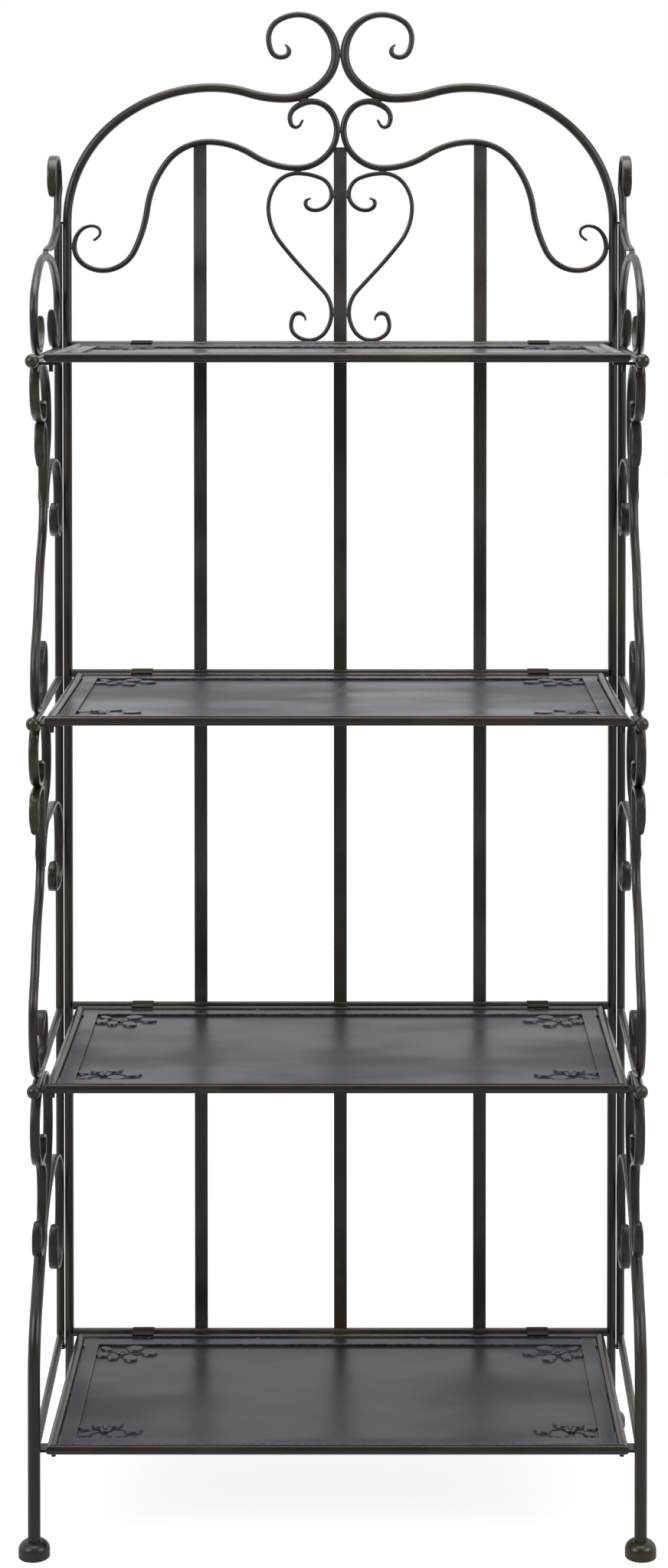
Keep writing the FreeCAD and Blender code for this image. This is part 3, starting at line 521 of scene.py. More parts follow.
def noise(tree, place, scale, detail=3.0, rough=0.55):
    """Noise between 0 and 1; scale counts its waves in a metre."""
    inputs = {"Vector": place, "Scale": scale, "Detail": detail, "Roughness": rough}
    return add_node(tree, "ShaderNodeTexNoise", inputs).outputs[0]


# %% The forged bar tree
BAR_SHAPE = {"points": 18, "square": 0.42, "uneven": 0.00016}
DENT_SCALE = 62.0
EDGE_SHARPNESS = 6.0


def signed_power(tree, value, exponent):
    """Keeps the sign of a sine or cosine while it is squared off."""
    size = maths(tree, "POWER", maths(tree, "ABSOLUTE", value), exponent)
    return maths(tree, "MULTIPLY", size, maths(tree, "SIGN", value))


def forged_bar_tree():
    tree, keys, given = new_tree(
        "forged_bar",
        points=("NodeSocketInt", BAR_SHAPE["points"]),
        square=("NodeSocketFloat", BAR_SHAPE["square"]),
        uneven=("NodeSocketFloat", BAR_SHAPE["uneven"]),
        finish=("NodeSocketMaterial",),
    )
    line = add_node(tree, "GeometryNodeMeshToCurve", {"Mesh": given["Geometry"]}).outputs["Curve"]
    place = tree.nodes.new("GeometryNodeInputPosition").outputs[0]
    line = store(tree, line, "axis", place, "FLOAT_VECTOR")
    ring = add_node(tree, "GeometryNodeCurvePrimitiveCircle", {"Resolution": given["points"]})
    number = tree.nodes.new("GeometryNodeInputIndex").outputs[0]
    turn = maths(tree, "MULTIPLY", maths(tree, "DIVIDE", number, given["points"]), math.tau)
    profile = store(tree, ring.outputs["Curve"], "turn", turn)
    inputs = {"Curve": line, "Profile Curve": profile, "Fill Caps": True}
    swept = add_node(tree, "GeometryNodeCurveToMesh", inputs).outputs["Mesh"]

    flat = named(tree, "flat")
    exponent = maths(tree, "SUBTRACT", 1.0, maths(tree, "MULTIPLY", flat, given["square"]))
    around = named(tree, "turn")
    cosine, sine = maths(tree, "COSINE", around), maths(tree, "SINE", around)
    out = maths(tree, "MULTIPLY", signed_power(tree, cosine, exponent), named(tree, "thick"))
    over = maths(tree, "MULTIPLY", signed_power(tree, sine, exponent), named(tree, "wide"))
    along_side = vectors(tree, "SCALE", named(tree, "side", "FLOAT_VECTOR"), out)
    along_width = vectors(tree, "SCALE", named(tree, "across", "FLOAT_VECTOR"), over)
    offset = vectors(tree, "ADD", along_side, along_width)
    skin = vectors(tree, "ADD", named(tree, "axis", "FLOAT_VECTOR"), offset)
    dents = noise(tree, skin, DENT_SCALE, 2.0)
    push = maths(tree, "MULTIPLY", maths(tree, "SUBTRACT", dents, 0.5), given["uneven"])
    pushed = vectors(tree, "SCALE", vectors(tree, "NORMALIZE", offset), push)
    inputs = {"Geometry": swept, "Position": vectors(tree, "ADD", skin, pushed)}
    bar = add_node(tree, "GeometryNodeSetPosition", inputs).outputs["Geometry"]
    # Narrow faces of a flat bar are marked for pale paint: rubbed wear and a painted highlight.
    edge = maths(tree, "POWER", maths(tree, "ABSOLUTE", sine), EDGE_SHARPNESS)
    bar = store(tree, bar, "worn_and_highlit_edge", maths(tree, "MULTIPLY", edge, flat))
    bar = add_node(tree, "GeometryNodeSetShadeSmooth", {"Geometry": bar}).outputs["Geometry"]
    finished(tree, bar, given["finish"])
    return tree, keys


BAR_TREE, BAR_KEYS = forged_bar_tree()
print("forged bar tree:", len(BAR_TREE.nodes), "nodes")

# %% [markdown]
# ## Finishes
# The rack wears a brown-black lacquer over steel. It isn't one colour: olive and red-brown show
# where it is thin, narrow edges are painted pale, partly as rubbed wear and partly as a painted
# highlight, and its sheen changes from hand to hand. Noise on Object coordinates gives each of
# these at its own size. The slats get a lighter copy of the lacquer, which is painted light for
# their flat fronts. The shelf sheet is bluer and wavy from the press, with a trace of dust, a
# faint sheen, that lightens it where it is seen at a low angle.

# %% Helpers for finishes
def new_finish(name):
    finish = bpy.data.materials.new(name)
    finish.use_nodes = True
    tree = finish.node_tree
    shader = next(n for n in tree.nodes if n.type == "BSDF_PRINCIPLED")
    place = tree.nodes.new("ShaderNodeTexCoord").outputs["Object"]
    return finish, tree, shader, place


def stretched(tree, place, scale):
    return add_node(tree, "ShaderNodeMapping", {"Vector": place, "Scale": scale}).outputs[0]


def ramp(tree, value, low, high, start=0.0, end=1.0):
    """Eases from start to end while the value goes from low to high."""
    inputs = {"Value": value, "From Min": low, "From Max": high, "To Min": start, "To Max": end}
    node = add_node(tree, "ShaderNodeMapRange", inputs, interpolation_type="SMOOTHSTEP")
    return node.outputs["Result"]


def tint(tree, share, base, over):
    """Mix of two colours; each is a colour or an output socket."""
    node = add_node(tree, "ShaderNodeMix", data_type="RGBA")
    feed(tree, node.inputs[0], share)
    for socket, value in zip([s for s in node.inputs if s.type == "RGBA"], (base, over)):
        feed(tree, socket, (*value, 1.0) if isinstance(value, tuple) else value)
    return next(s for s in node.outputs if s.type == "RGBA")


def bumped(tree, height, strength, distance, under=None):
    """Bump normal; under is the output of a coarser bump below it."""
    inputs = {"Height": height, "Strength": strength, "Distance": distance}
    if under:
        inputs["Normal"] = under
    return add_node(tree, "ShaderNodeBump", inputs).outputs[0]


def dress(tree, shader, inputs):
    """Feeds the shader's sockets by name."""
    for name, value in inputs.items():
        feed(tree, shader.inputs[name], value)


# %% Dark lacquer of the bars
LACQUER = (0.0245, 0.0200, 0.0155)
LACQUER_DEEP = (0.0140, 0.0112, 0.0086)
# A lighter copy of the lacquer for the slats: painted light, since their flat fronts face the dim
# room.
SLAT_LACQUER_PAINTED_LIT = (0.0370, 0.0330, 0.0290)
OLIVE = (0.034, 0.030, 0.012)
RED_BROWN = (0.036, 0.017, 0.012)
# Pale colour of rubbed wear, also used as a painted highlight on narrow edges.
PALE_WEAR_AND_HIGHLIGHT = (0.165, 0.156, 0.145)


def lacquered_steel(
    name, sheen_low, sheen_high, edge_share, light=1.0, olive=0.51, gloss=0.55, lacquer=LACQUER
):
    """Light is the share of the lighter lacquer; a low olive start spreads the olive patches."""
    finish, tree, shader, place = new_finish(name)
    cloud = noise(tree, place, 11.0)
    patch = noise(tree, stretched(tree, place, (9.0, 9.0, 5.0)), 1.0, 4.0)
    rust = noise(tree, stretched(tree, place, (7.0, 11.0, 6.0)), 1.7, 3.0)
    grain = noise(tree, place, 240.0, 3.0, 0.55)
    speck = noise(tree, place, 1100.0, 2.0, 0.5)
    colour = tint(tree, ramp(tree, cloud, 0.35, 0.68, 0.0, light), LACQUER_DEEP, lacquer)
    colour = tint(tree, ramp(tree, patch, olive, olive + 0.19, 0.0, 0.8), colour, OLIVE)
    colour = tint(tree, ramp(tree, rust, 0.53, 0.72, 0.0, 0.75), colour, RED_BROWN)
    # Narrow bar edges are painted pale: partly rubbed wear, partly a painted highlight where those
    # faces catch light.
    edge = tree.nodes.new("ShaderNodeAttribute")
    edge.attribute_name = "worn_and_highlit_edge"
    wear_and_highlight = maths(tree, "MULTIPLY", edge.outputs["Fac"], ramp(tree, grain, 0.3, 0.62, 0.35, 1.0))
    scuff = ramp(tree, maths(tree, "MULTIPLY", speck, patch), 0.40, 0.50, 0.0, 0.30)
    rubbed_and_highlit = maths(tree, "MAXIMUM", maths(tree, "MULTIPLY", wear_and_highlight, edge_share), scuff)
    colour = tint(tree, rubbed_and_highlit, colour, PALE_WEAR_AND_HIGHLIGHT)
    relief = maths(tree, "ADD", grain, maths(tree, "MULTIPLY", speck, 0.25))
    inputs = {
        "Base Color": colour,
        "Roughness": ramp(tree, cloud, 0.3, 0.7, sheen_low, sheen_high),
        "Normal": bumped(tree, relief, strength=0.05, distance=0.0004),
        "Specular IOR Level": gloss,
    }
    dress(tree, shader, inputs)
    return finish


BAR_FINISH = lacquered_steel("lacquered_bar", 0.29, 0.44, 0.9)
# The slats take the lighter lacquer, which is painted light for their camera-facing fronts.
SLAT_FINISH = lacquered_steel("lacquered_slat", 0.40, 0.56, 0.3, gloss=0.7, lacquer=SLAT_LACQUER_PAINTED_LIT)
BALL_FINISH = lacquered_steel("lacquered_ball", 0.26, 0.38, 0.0, light=0.6, olive=0.36)
TUBE_FINISH = lacquered_steel("lacquered_tube", 0.24, 0.36, 0.0, light=0.3)
CLIP_FINISH = lacquered_steel("lacquered_clip", 0.52, 0.66, 0.0, light=0.1, gloss=0.15)
print("bar finishes:", BAR_FINISH.name, SLAT_FINISH.name, BALL_FINISH.name, TUBE_FINISH.name)

# %% Blue-grey sheet of the shelves
SHEET = (0.0215, 0.0258, 0.0350)
SHEET_DARK = (0.0088, 0.0108, 0.0156)
SHEET_WARM = (0.0290, 0.0280, 0.0280)


def pressed_sheet_finish(name, rubbed_and_highlit):
    """The last argument is the share of pale colour in patches: bare metal on worn places and, on
    rounded strip edges, a painted highlight.
    """
    finish, tree, shader, place = new_finish(name)
    smear = noise(tree, stretched(tree, place, (3.4, 6.5, 24.0)), 1.0, 4.0, 0.55)
    haze = noise(tree, stretched(tree, place, (2.2, 6.0, 9.0)), 1.3, 2.0)
    warm = noise(tree, stretched(tree, place, (6.0, 12.0, 20.0)), 1.9, 3.0)
    peel = noise(tree, place, 700.0, 2.0, 0.5)
    colour = tint(tree, ramp(tree, smear, 0.34, 0.66), SHEET_DARK, SHEET)
    colour = tint(tree, ramp(tree, warm, 0.56, 0.74, 0.0, 0.6), colour, SHEET_WARM)
    # Pale patches: rubbed bare metal, and on rounded strip edges also a painted highlight.
    wear_and_highlight = ramp(tree, noise(tree, place, 160.0, 4.0, 0.65), 0.36, 0.62, 0.0, rubbed_and_highlit)
    colour = tint(tree, wear_and_highlight, colour, PALE_WEAR_AND_HIGHLIGHT)
    dull = maths(tree, "MULTIPLY", smear, haze)
    waves = bumped(tree, noise(tree, place, 9.0, 2.0, 0.5), strength=0.35, distance=0.004)
    inputs = {
        "Base Color": colour,
        "Roughness": ramp(tree, dull, 0.15, 0.38, 0.30, 0.52),
        "Normal": bumped(tree, peel, strength=0.1, distance=0.0003, under=waves),
        "Specular IOR Level": 0.52,
        "Specular Tint": (0.90, 0.95, 1.0, 1.0),
        "Sheen Weight": 0.09,
        "Sheen Roughness": 0.3,
    }
    dress(tree, shader, inputs)
    return finish


SHEET_FINISH = pressed_sheet_finish("pressed_sheet", 0.0)
# Rounded strip edges: pale patches that are partly rubbed metal, partly a painted highlight.
SHEET_EDGE_FINISH = pressed_sheet_finish("rubbed_and_highlit_sheet_edge", 0.8)

# %% Bare weld metal
WELD_DARK = (0.030, 0.027, 0.024)
WELD_BRIGHT = (0.145, 0.138, 0.130)


def weld_finish():
    finish, tree, shader, place = new_finish("weld_bead")
    ripple = noise(tree, place, 900.0, 4.0, 0.65)
    inputs = {
        "Base Color": tint(tree, ramp(tree, ripple, 0.35, 0.65), WELD_DARK, WELD_BRIGHT),
        "Roughness": ramp(tree, ripple, 0.3, 0.7, 0.3, 0.55),
        "Normal": bumped(tree, ripple, strength=0.5, distance=0.0006),
        "Metallic": 0.45,
    }
    dress(tree, shader, inputs)
    return finish


WELD_FINISH = weld_finish()
print("shelf and weld finishes:", SHEET_FINISH.name, WELD_FINISH.name)

# %% [markdown]
# ## Putting bars into the scene
# A bar is a chain of points with its section as attributes. The tree turns it into a skin, the
# evaluated result becomes a plain mesh, and the modifier goes. The finished bar rides on the body
# of the solid that it stands for.

# %% From a forged line to a piece
class Plane:
    """The plane that a line lies in: origin, forward and up, and across it."""

    def __init__(self, origin, forward, up=(0, 0, 1)):
        self.origin = Vector(origin)
        self.forward = Vector(forward).normalized()
        self.up = Vector(up)
        self.across = self.up.cross(self.forward)

    def place(self, spot):
        return (self.origin + self.direction(spot)) * MM

    def direction(self, spot):
        return self.forward * spot.real + self.up * spot.imag


def attributed_mesh(name, places, links, values):
    """Points and edges that carry numbers or vectors by name."""
    mesh = bpy.data.meshes.new(name)
    mesh.from_pydata(places, links, [])
    for key, rows in values.items():
        vector = isinstance(rows[0], Vector)
        attribute = mesh.attributes.new(key, "FLOAT_VECTOR" if vector else "FLOAT", "POINT")
        for item, row in zip(attribute.data, rows):
            if vector:
                item.vector = row
            else:
                item.value = row
    return mesh


def chain_mesh(name, bars, plane):
    """One mesh of point chains that carry their sections."""
    places, links, values = [], [], {"thick": [], "wide": [], "flat": [], "side": [], "across": []}
    for points in bars:
        first = len(places)
        for spot, head, thick, wide, flat in points:
            places.append(plane.place(spot))
            values["thick"].append(thick * MM)
            values["wide"].append(wide * MM)
            values["flat"].append(flat)
            values["side"].append(plane.direction(head * 1j))
            values["across"].append(plane.across)
        links += [(n, n + 1) for n in range(first, len(places) - 1)]
    return attributed_mesh(name, places, links, values)


def evaluated_piece(name, source, tree, settings):
    """Runs a node tree on a mesh and keeps its result as a plain mesh object."""
    obj = bpy.data.objects.new(name, source)
    bpy.context.scene.collection.objects.link(obj)
    modifier = obj.modifiers.new("shape", "NODES")
    modifier.node_group = tree
    for key, value in settings.items():
        modifier[key] = value
    graph = bpy.context.evaluated_depsgraph_get()
    result = bpy.data.meshes.new_from_object(obj.evaluated_get(graph), depsgraph=graph)
    obj.modifiers.clear()
    obj.data = result
    bpy.data.meshes.remove(source)
    return obj


MERGE_DISTANCE = 1e-7


def faces_outward(mesh):
    shell = bmesh.new()
    shell.from_mesh(mesh)
    bmesh.ops.remove_doubles(shell, verts=shell.verts, dist=MERGE_DISTANCE)
    bmesh.ops.recalc_face_normals(shell, faces=shell.faces)
    shell.to_mesh(mesh)
    shell.free()


def seated(obj, body, *nodes, slot="frame_metal"):
    """The piece rides on a body and stands for its solids."""
    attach(obj, body)
    if nodes:
        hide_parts(*nodes)
    return obj


def forged(name, bars, plane, body, *nodes, **choices):
    source = chain_mesh(f"{name}_line", bars, plane)
    values = {**BAR_SHAPE, "finish": BAR_FINISH, **choices}
    settings = {BAR_KEYS[key]: value for key, value in values.items()}
    piece = evaluated_piece(name, source, BAR_TREE, settings)
    faces_outward(piece.data)
    return seated(piece, body, *nodes)


# %% [markdown]
# ## The back frame
# Two round bars rise from the rear feet, swing over the top shelf and end in the scrolls of the
# crest. Below them runs a thinner arch, and a heart of thin rod fills the middle. The left half
# mirrors the right one, so its lines are drawn with the forward direction turned round.

# %% Arch, inner arch and heart
arch = scroll_pegs(ARCH_SHARES, POST_X, ARCH_HEIGHT, LEVELS[0])
touch(arch, "centre", forward=POST_R + GAP / 2)
post_line = {"foot": (POST_X, POST_FOOT, 90), **arch}

inner = scroll_pegs(INNER_SHARES, POST_X, ARCH_HEIGHT, LEVELS[0])
touch(inner, "kiss", *beside(arch["kiss"], POST_R + INNER_R + GAP, 1))
touch(inner, "centre", forward=INNER_R + GAP / 2)
touch(inner, "post", forward=POST_X - POST_R - INNER_LOW_R - GAP)

HEART_X = SLAT_HALF + HEART_R + GAP
heart = scroll_pegs(HEART_SHARES, POST_X, ARCH_HEIGHT, LEVELS[0])
touch(heart, "slat", forward=HEART_X)
touch(heart, "top", up=inner["dip"][1] - INNER_R - HEART_R - GAP)
touch(heart, "foot", forward=HEART_X)

# %% Stock of the back bars
CREST_OUTER_SHARE, INNER_CURL_SHARE, INNER_END_SHARE, HEART_END_SHARE = 0.94, 0.78, 1.25, 1.06
POST_STOCK = [
    ("foot", round_bar(POST_R)),
    ("centre", round_bar(POST_R)),
    ("crest", round_bar(CREST_R), DRAWN),
    ("outer", round_bar(CREST_R * CREST_OUTER_SHARE), DRAWN),
    ("inner", round_bar(CREST_CURL_R), DRAWN),
    ("tip", round_bar(CREST_TIP_R), DRAWN),
]
INNER_STOCK = [
    ("tip", round_bar(INNER_TIP_R)),
    ("outer", round_bar(INNER_R * INNER_CURL_SHARE), DRAWN),
    ("kiss", round_bar(INNER_R), DRAWN),
    ("flank", round_bar(INNER_R), DRAWN),
    ("post", round_bar(INNER_LOW_R), DRAWN),
    ("curl", round_bar(INNER_TIP_R * INNER_END_SHARE), DRAWN),
    ("end", round_bar(INNER_TIP_R), DRAWN),
]
HEART_STOCK = [
    ("tip", round_bar(HEART_TIP_R)),
    ("turn", round_bar(HEART_R), DRAWN),
    ("curl", round_bar(HEART_R), DRAWN),
    ("over", round_bar(HEART_R * HEART_END_SHARE), DRAWN),
    ("end", round_bar(HEART_TIP_R), DRAWN),
]
BACK_BARS = (  # piece, solid, line and points round the section
    ("arch_bar", "back_post", forged_line(post_line, POST_STOCK, ("flat", "round")), 20),
    ("inner_scroll", "inner_arch", forged_line(inner, INNER_STOCK), 16),
    ("heart_wire", "heart_scroll", forged_line(heart, HEART_STOCK), 14),
)
BACK_PLANES = {side: Plane((0, BACK_Y, 0), (out, 0, 0)) for side, out in SIDES}
for side, plane in BACK_PLANES.items():
    for name, node, line, count in BACK_BARS:
        forged(f"{name}_{side}", [line], plane, "back_frame", f"{node}_{side}", points=count)
print("back frame bars on each side:", len(BACK_BARS))

# %% [markdown]
# ## The slats
# Three flat bars run from the bottom rail up to the inner arch. A box would have knife edges, so a
# slat is swept like the other bars, from a flat section with slightly round corners. The outer two
# bite a little into the arch, as a welded end does; the middle one ends between its halves.

# %% Three slats
SLAT_BITES = {"left": 3.0, "centre": 0.0, "right": 3.0}
SLAT_SHAPE = {"points": 36, "square": 0.74, "uneven": 0.00012, "finish": SLAT_FINISH}
for place, bite in SLAT_BITES.items():
    low, high = box_mm(f"back_slat_{place}")
    half = (high - low) / 2
    slat_pegs = {"foot": (0, low.z, 90), "top": (0, high.z + bite, 90)}
    slat_line = forged_line(slat_pegs, [("foot", (half.y, half.x, 1.0))], ("flat", "flat"))
    slat_plane = Plane(((low.x + high.x) / 2, (low.y + high.y) / 2, 0), (0, 1, 0))
    name, node = f"slat_bar_{place}", f"back_slat_{place}"
    forged(name, [slat_line], slat_plane, "back_frame", node, **SLAT_SHAPE)
print("slats:", len(SLAT_BITES))

# %% [markdown]
# ## The side frames
# Each of the two upper bays of a side frame is a crook, a leg and a rear curl. In the lowest bay
# crook and leg are one long bar, with a toe scroll and a rear curl on its knee. The bars are straps
# where they curl and round where they carry weight. The same lines serve both sides; only the plane
# that they lie in changes, because each frame toes in a little towards the front. A weld is noted
# where bars touch: its place, its heading and its half sizes.

# %% Stock of the side bars
BAR_WELD = (4.6, 1.9, 3.6)
STRAP_WELD = (4.2, 1.5, 5.0)
KNEE_BLEND, CROWN_BLEND = 22.0, 14.0
SCROLL_FOOT = (2.0, 3.5, 0.4)
CURL_STOCK = [("start", STRAP), ("tip", STRAP_TIP, TIP_BLEND)]


def pointed(stock, last=None):
    """Stock whose first end, and last end where it is named, narrow to a rounded point."""
    first = stock[0]
    rows = [(first[0], STRAP_TIP), (*first, TIP_BLEND), *stock[1:]]
    return rows + [(last, STRAP_TIP, TIP_BLEND)] if last else rows


# %% Bars and welds of an upper bay
def bay_bars(bay):
    upper, lower = SIDE_RAIL_Z[bay], SIDE_RAIL_Z[bay + 1]
    crook = scroll_pegs(CROOK_SHARES[bay], REACH, upper - lower, lower)
    leg = scroll_pegs(LEG_SHARES[bay], REACH, upper - lower, lower)
    curl = scroll_pegs(CURL_SHARES[bay], REACH, upper - lower, lower)
    touch(crook, "top", up=upper - SIDE_RAIL_R - STRAP_R - GAP)
    touch(crook, "tail", forward=leg["step"][0] - 2 * STRAP_R - GAP)
    touch(leg, "crest", crook["pinch"][0], crook["pinch"][1] - 2 * STRAP_R - GAP)
    touch(leg, "sole", up=lower + SIDE_RAIL_R + LEG_R + GAP)
    touch(curl, "start", forward=leg["step"][0] - LEG_R - STRAP_R - GAP)
    touch(curl, "post", forward=SIDE_POST_R + STRAP_R + GAP)
    crook_line = forged_line(crook, pointed([("tip", STRAP)]))
    leg_stock = [("blunt", STRAP), ("step", round_bar(LEG_R)), ("sole", STRAP)]
    leg_line = forged_line(leg, pointed(leg_stock, "end"))
    welds = [
        (complex(crook["top"][0], upper - SIDE_RAIL_R), 0, STRAP_WELD),
        (complex(crook["pinch"][0], crook["pinch"][1] - STRAP_R), 0, STRAP_WELD),
        (complex(leg["sole"][0], lower + SIDE_RAIL_R), 0, BAR_WELD),
        (complex(leg["step"][0] - LEG_R, curl["start"][1]), 90, STRAP_WELD),
        (complex(SIDE_POST_R, curl["post"][1]), 90, STRAP_WELD),
    ]
    return crook_line, leg_line, forged_line(curl, CURL_STOCK), welds


# %% Bars and welds of the lowest bay
def low_bars():
    upper, lower = SIDE_RAIL_Z[2], SIDE_RAIL_Z[3]
    leg = scroll_pegs(LONG_LEG_SHARES, REACH, upper - lower, lower)
    toe = scroll_pegs(TOE_SCROLL_SHARES, REACH, upper - lower, lower)
    curl = scroll_pegs(LOW_CURL_SHARES, REACH, upper - lower, lower)
    touch(leg, "top", up=upper - SIDE_RAIL_R - STRAP_R - GAP)
    touch(leg, "foot", up=FOOT_HIGH.z)
    touch(toe, "start", leg["pinch"][0], leg["pinch"][1] - 2 * STRAP_R - GAP)
    knee_gap, knee_angle = LONG_LEG_R + STRAP_R + GAP, leg["knee"][2]
    touch(toe, "seat", *beside(leg["knee"], knee_gap, 1), knee_angle)
    touch(curl, "start", *beside(leg["knee"], knee_gap, -1), knee_angle - 180)
    touch(curl, "post", forward=SIDE_POST_R + STRAP_R + GAP)
    leg_stock = pointed([("tip", STRAP), ("knee", round_bar(LONG_LEG_R), KNEE_BLEND)])
    leg_line = forged_line(leg, leg_stock, ("round", "flat"))
    welds = [
        (complex(leg["top"][0], upper - SIDE_RAIL_R), 0, STRAP_WELD),
        (complex(leg["pinch"][0], leg["pinch"][1] - STRAP_R), 0, STRAP_WELD),
        (complex(*beside(leg["knee"], LONG_LEG_R, 1)), knee_angle, STRAP_WELD),
        (complex(*beside(leg["knee"], LONG_LEG_R, -1)), knee_angle, STRAP_WELD),
        (complex(SIDE_POST_R, curl["post"][1]), 90, STRAP_WELD),
    ]
    return leg_line, forged_line(toe, CURL_STOCK), forged_line(curl, CURL_STOCK), welds


# %% Bars and welds above the top shelf
def upper_bars():
    crown = scroll_pegs(CROWN_SHARES, REACH, CROWN_HEIGHT, SIDE_RAIL_Z[0])
    for base in ("fore_base", "aft_base"):
        touch(crown, base, up=SIDE_RAIL_Z[0] + SIDE_RAIL_R + SCROLL_R + GAP)
    touch(crown, "top", up=SIDE_RAIL_Z[0] + CROWN_HEIGHT - SCROLL_R)
    touch(crown, "post", forward=SIDE_POST_R + SCROLL_R + GAP)
    base = SIDE_RAIL_Z[0] + CROWN_HEIGHT
    top = scroll_pegs(TOP_SCROLL_SHARES, REACH, TOP_SCROLL_HEIGHT, base)
    touch(top, "start", crown["top"][0], base + SCROLL_FOOT_R + GAP)
    crown_stock = [
        ("tip", STRAP),
        ("fore_base", round_bar(SCROLL_R), CROWN_BLEND),
        ("aft_base", STRAP, CROWN_BLEND),
    ]
    top_stock = [
        ("start", SCROLL_FOOT),
        ("lean", round_bar(SCROLL_R), DRAWN),
        ("back", STRAP),
        ("end", STRAP_TIP, TIP_BLEND),
    ]
    welds = [
        (complex(top["start"][0], base), 0, BAR_WELD),
        (complex(crown["fore_base"][0], SIDE_RAIL_Z[0] + SIDE_RAIL_R), 0, BAR_WELD),
        (complex(crown["aft_base"][0], SIDE_RAIL_Z[0] + SIDE_RAIL_R), 0, BAR_WELD),
        (complex(SIDE_POST_R, crown["post"][1]), 90, BAR_WELD),
    ]
    return forged_line(crown, pointed(crown_stock, "end")), forged_line(top, top_stock), welds


# %% Bars of both sides
CROOK_1, LEG_1, CURL_1, WELDS_1 = bay_bars(0)
CROOK_2, LEG_2, CURL_2, WELDS_2 = bay_bars(1)
LONG_LEG, TOE_SCROLL, LOW_CURL, LOW_WELDS = low_bars()
CROWN, TOP_SCROLL, UPPER_WELDS = upper_bars()
SIDE_WELDS = WELDS_1 + WELDS_2 + LOW_WELDS + UPPER_WELDS
SIDE_BARS = (  # piece, solid and lines
    ("top_bar", "top_scroll", [TOP_SCROLL]),
    ("crown_bar", "crown_scroll", [CROWN]),
    ("crook_straps", "crooks", [CROOK_1, CROOK_2]),
    ("upper_leg_bar", "leg_1", [LEG_1]),
    ("middle_leg_bar", "leg_2", [LEG_2]),
    ("long_leg_bar", "leg_3", [LONG_LEG]),
    ("curl_straps", "rear_curls", [CURL_1, CURL_2, LOW_CURL]),
    ("toe_strap", "toe_scroll", [TOE_SCROLL]),
)
SIDE_PLANES = {
    side: Plane((out * SIDE_POST_X, BACK_Y, 0), (-out * TOE_IN, -DEPTH, 0)) for side, out in SIDES
}
for side, plane in SIDE_PLANES.items():
    for name, node, lines in SIDE_BARS:
        forged(f"{name}_{side}", lines, plane, f"side_frame_{side}", f"{node}_{side}")
print("side frame bars on each side:", len(SIDE_BARS))

# %% [markdown]
# ## The shelves
# A flat sheet lies inside each tube, and four flat strips frame it. Between strip and tube runs a
# narrow groove that stops short of the corners. Blocks with rounded edges are enough here. The
# rounded edges get a finish of their own, with pale patches that are partly rubbed lacquer and
# partly a painted highlight.

# %% Sheet and border of one shelf
EDGE_ROUND, PLATE_ROUND = 0.7, 0.3


def soft_block(shell, low, high, radius):
    """A block whose edges are rounded; the rounding takes the second finish."""
    corners = bmesh.ops.create_cube(shell, size=1.0)["verts"]
    middle, size = (low + high) / 2, high - low
    for corner in corners:
        corner.co = (middle + Vector(c * s for c, s in zip(corner.co, size))) * MM
    edges = list({edge for corner in corners for edge in corner.link_edges})
    rounding = bmesh.ops.bevel(
        shell, geom=edges, offset=radius * MM, segments=3, profile=0.5, affect="EDGES"
    )
    for face in rounding["faces"]:
        face.smooth = True
        face.material_index = 1


def block_piece(name, blocks, radius):
    shell = bmesh.new()
    for low, high in blocks:
        soft_block(shell, Vector(low), Vector(high), radius)
    mesh = bpy.data.meshes.new(name)
    shell.to_mesh(mesh)
    shell.free()
    for finish in (SHEET_FINISH, SHEET_EDGE_FINISH):
        mesh.materials.append(finish)
    piece = bpy.data.objects.new(name, mesh)
    bpy.context.scene.collection.objects.link(piece)
    return piece


def border_blocks(low, high, base):
    """Side strips with their welded lugs, and the strips between them."""
    left, right, front, rear = low.x, high.x, low.y, high.y
    blocks = []
    for edge, way in ((left, 1), (right, -1)):
        across = sorted((edge + way * SLIT, edge + way * BORDER))
        blocks.append(((across[0], front, base), (across[1], rear, high.z)))
        lug = sorted((edge, edge + way * (SLIT + EDGE_ROUND)))
        for start, end in ((front, front + LUG), (rear - LUG, rear)):
            blocks.append(((lug[0], start, base), (lug[1], end, high.z - GAP)))
    for start, end in ((front + SLIT, front + BORDER), (rear - BORDER, rear - SLIT)):
        blocks.append(((left + BORDER, start, base), (right - BORDER, end, high.z)))
    return blocks


# %% Plate and strips of all shelves
for number in SHELVES:
    low, high = box_mm(f"shelf_panel_{number}")
    base, body = low.z + SHEET_THICK, f"shelf_{number}"
    plate_block, strip_blocks = (low, (high.x, high.y, base)), border_blocks(low, high, base)
    plate = block_piece(f"sheet_plate_{number}", [plate_block], PLATE_ROUND)
    seated(plate, body, f"shelf_panel_{number}", slot="shelf_metal")
    strips = block_piece(f"border_strips_{number}", strip_blocks, EDGE_ROUND)
    seated(strips, body, slot="shelf_metal")
print("shelves: a plate and", len(strip_blocks), "blocks each")

# %% [markdown]
# ## Copies of one shape
# Leaves and welds are copies: one shape, many places. Points carry a direction, the way across and
# a size, and a small tree puts a copy on each.

# %% Stamps: points with directions and sizes
def stamp_mesh(name, rows):
    """Rows are place, along, across and size."""
    places, along, across, reach = zip(*rows)
    return attributed_mesh(name, places, [], {"along": along, "across": across, "reach": reach})


